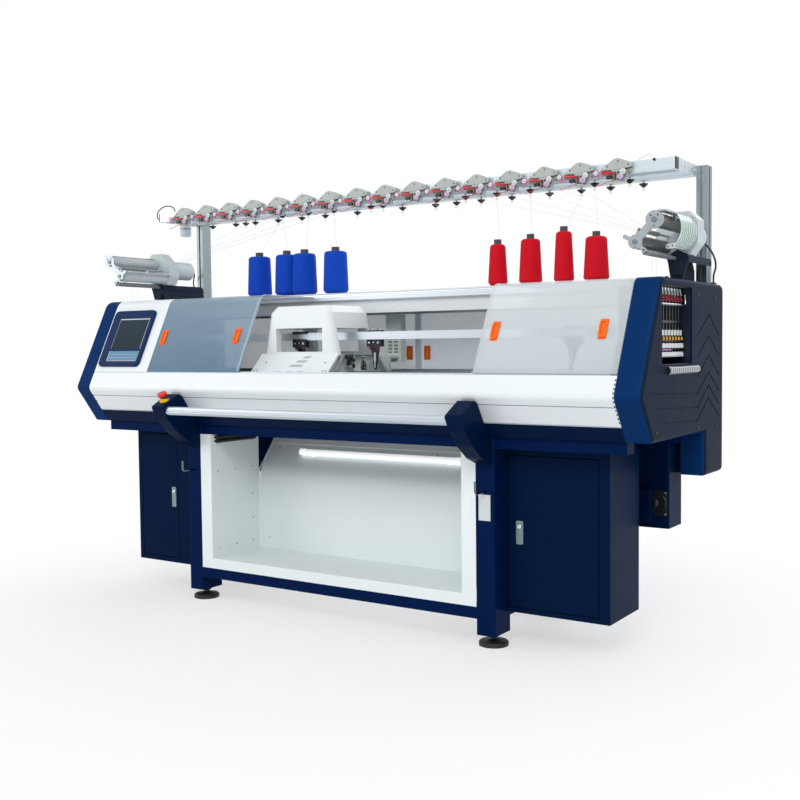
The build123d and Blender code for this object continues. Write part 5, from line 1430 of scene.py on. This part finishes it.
# %% [markdown]
# Two thin white strips edge each front window on its inner side, up the slope and over the
# bend. Probes measure the sheet's face, and a wire follows it. The rear windows have orange
# finger plates with round ends, painted a brighter orange than the handles as painted light
# against the shade behind the sheet. All of these ride on their own window.

# %% Window strips and pulls
def strip_run(node, x):
    """Points along a window's face, up the slope and over the bend."""
    run = [touch(node, (x, -700, z), (0, 1, 0)) for z in range(994, 1296, 25)]
    run += [touch(node, (x, y, 1500), (0, 0, -1)) for y in (-182, -168, -140, -60, 20, 90)]
    return [[a + 0.6 * b for a, b in zip(place, face)] for place, face in run]


window_edges = (
    ("left_front_window", "left_window", (-384, -391)),
    ("right_front_window", "right_window", (718, 725)),
)
for node, body, edges in window_edges:
    strips = wires([strip_run(node, x) for x in edges], 2.2)
    finished(f"{body}_strips", [strips], ceramic_white, body)
PULL_Z = 1060.5
PULL_RADIUS = 11.5
PULL_REACH = 20
pill = []
for step in range(16):
    angle = math.pi * (step + 0.5) / 8
    end = PULL_REACH if math.sin(angle) >= 0 else -PULL_REACH
    pill.append((PULL_RADIUS * math.cos(angle), end + PULL_RADIUS * math.sin(angle)))
for x, side in ((-50, "left"), (50, "right")):
    (_, y, _), _ = touch(f"{side}_rear_window", (x, 300, PULL_Z), (0, 1, 0))
    pull = cut_plate([(x + dx, PULL_Z + dz) for dx, dz in pill], 1.6, y + 0.2, 0.6)
    slot = cut_plate([(x + dx * 0.55, PULL_Z + dz * 0.72) for dx, dz in pill], 0.8, y - 1.2, 0.3)
    body = f"{side}_back_window"
    # The brighter orange is painted light.
    finished(f"{body}_pull", [pull, slot], bright_orange, body)
print("strips and pulls on four windows")

# %% [markdown]
# Each leveling foot is locked by a hexagon jam nut. The feet's own box gives the places of
# the nuts, so they stay over the feet if those move. A bare rating plate is riveted to the
# right leg.

# %% Foot nuts and rating plate
FOOT_RADIUS = 54.5
foot_low, foot_high = span("leveling_feet")
foot_x = foot_high[0] * 1000 - FOOT_RADIUS
foot_ys = (foot_low[1] * 1000 + FOOT_RADIUS, foot_high[1] * 1000 - FOOT_RADIUS)
nut_rings = [(19, 0), (20, 1.5), (20, 8), (19, 9.5)]
nuts = [turned(nut_rings, (side * foot_x, y, 33), (0, 0, 1), 6) for side in (-1, 1) for y in foot_ys]
finished("foot_nuts", nuts, dark_steel)
rating = slab((690, -272.8, 463), (738, -271.4, 557), 0.4)
rivet_places = [(x, -272.8, z) for x in (694, 734) for z in (467, 553)]
rivets = [turned([(2.4, 0), (1.8, 1.0)], place, TOWARDS_FRONT, 10) for place in rivet_places]
finished("rating_plate", [rating] + rivets, ceramic_white)
print("nuts", len(nuts), "rivets", len(rivets))

# %% [markdown]
# Below each feeder a gusset stiffens the bracket, a rubber grommet guards the hole where
# the cable goes in, and a small peg stands on the cover. The gusset is an outline cut and
# grown; the other two are turned.

# %% Feeder gussets and grommets
gusset_outline = [
    (1256, 1386), (1262, 1402), (1294, 1420), (1330, 1402), (1336, 1386), (1318, 1330), (1278, 1330)]
gusset = cut_plate(gusset_outline, 3, 89.5, 0.6)
finished("feeder_gussets", both_sides([gusset]), mount_paint)
grommet = turned([(11, 0), (11, 3), (8, 6), (5, 6)], (1321, 416, 1312), (0, 0, 1), 16)
peg = turned([(5, 0), (5, 6), (7, 7), (7, 13), (5, 14)], (1270, 45, 1311.6), (0, 0, 1), 14)
finished("cable_grommets", both_sides([grommet, peg]), glossy_black)
print("gussets and grommets fitted")

# %% [markdown]
# The fabric bay has soft rolls in its side slots and folded sheets that close the gap
# beside the chute, so the fabric can't catch there. A side sheet stiffens each feeder
# bracket, and small black clips along its ends hold the front cover.

# %% Bay fittings
roll = turned([(6, 0), (8, 3), (8, 247), (6, 250)], (609.6, -246, 692), (0, 1, 0), 14)
finished("bay_rolls", both_sides(repeat([roll], [(0, 0, 0), (0, 0, 18)])), black)
chute_foot = span("fabric_chute")[0][2] * 1000
gap_outline = [(30, chute_foot), (34.6, chute_foot), (34.6, 538), (158, 690), (152, 690), (30, 540)]
gap_sheet = side_sheet(gap_outline, 612.4, 5.2)
finished("chute_flanges", both_sides([gap_sheet]), liner_paint)
mount_side = side_sheet([(70, 1398), (110, 1313), (371, 1313), (371, 1362), (322, 1398)], 1262, 1.6)
finished("mount_side_sheets", both_sides([mount_side]), mount_paint)
clips = []
for x, heights in ((1245.4, range(834, 984, 14)), (-1245.4, (858, 885))):
    for z in heights:
        place, face = touch("front_cover", (x, -700, z), (0, 1, 0))
        clips.append(laid([(-1.8, -3.5), (1.8, -3.5), (1.8, 3.5), (-1.8, 3.5)], 1.2, place, face))
finished("cover_clips", clips, glossy_black)
print("clips", len(clips))

# %% [markdown]
# The control box is cooled by a square fan in its front: a plate, two rings of the finger
# guard, a hub and four spokes. A probe gives the depth of the box's front.

# %% Fan of the control box
FAN_X = 1170
FAN_Z = 499
FAN_HALF = 46
SPOKE = 26
(_, fan_y, _), _ = touch("control_box", (FAN_X, 100, FAN_Z), (0, 1, 0))
fan = [
    slab((FAN_X - FAN_HALF, fan_y - 3, FAN_Z - FAN_HALF), (FAN_X + FAN_HALF, fan_y, FAN_Z + FAN_HALF), 1.2),
    ring((FAN_X, fan_y - 4, FAN_Z), (0, 1, 0), 41, 5, 28),
    ring((FAN_X, fan_y - 5, FAN_Z), (0, 1, 0), 28, 2.4, 24),
    turned([(15, 0), (15, 3), (12, 5)], (FAN_X, fan_y - 2.5, FAN_Z), TOWARDS_FRONT, 20),
]
for start in (14, -40):
    upright_low = (FAN_X - 1.2, fan_y - 5.4, FAN_Z + start)
    fan.append(slab(upright_low, (FAN_X + 1.2, fan_y - 3.4, FAN_Z + start + SPOKE), 0.4))
for start in (14, -40):
    level_low = (FAN_X + start, fan_y - 5.4, FAN_Z - 1.2)
    fan.append(slab(level_low, (FAN_X + start + SPOKE, fan_y - 3.4, FAN_Z + 1.2), 0.4))
finished("box_fan", fan, glossy_black)
fan_screws = [screw((x, fan_y - 3, z), TOWARDS_FRONT, 3.4) for x in (1130, 1210) for z in (459, 539)]
finished("fan_screws", fan_screws, chrome)
print("fan fitted at", round(fan_y, 1))

# %% [markdown]
# Beside the chute's bend the bay would look open, so a navy sheet closes it at each side.

# %% Bay side sheets
side_fill = side_sheet([(36, 520), (160, 672), (160, 700), (36, 700)], 618.4, 1.2)
finished("bay_side_sheets", both_sides([side_fill]), navy_paint)
print("bay closed")

# %% End
print("scene built")
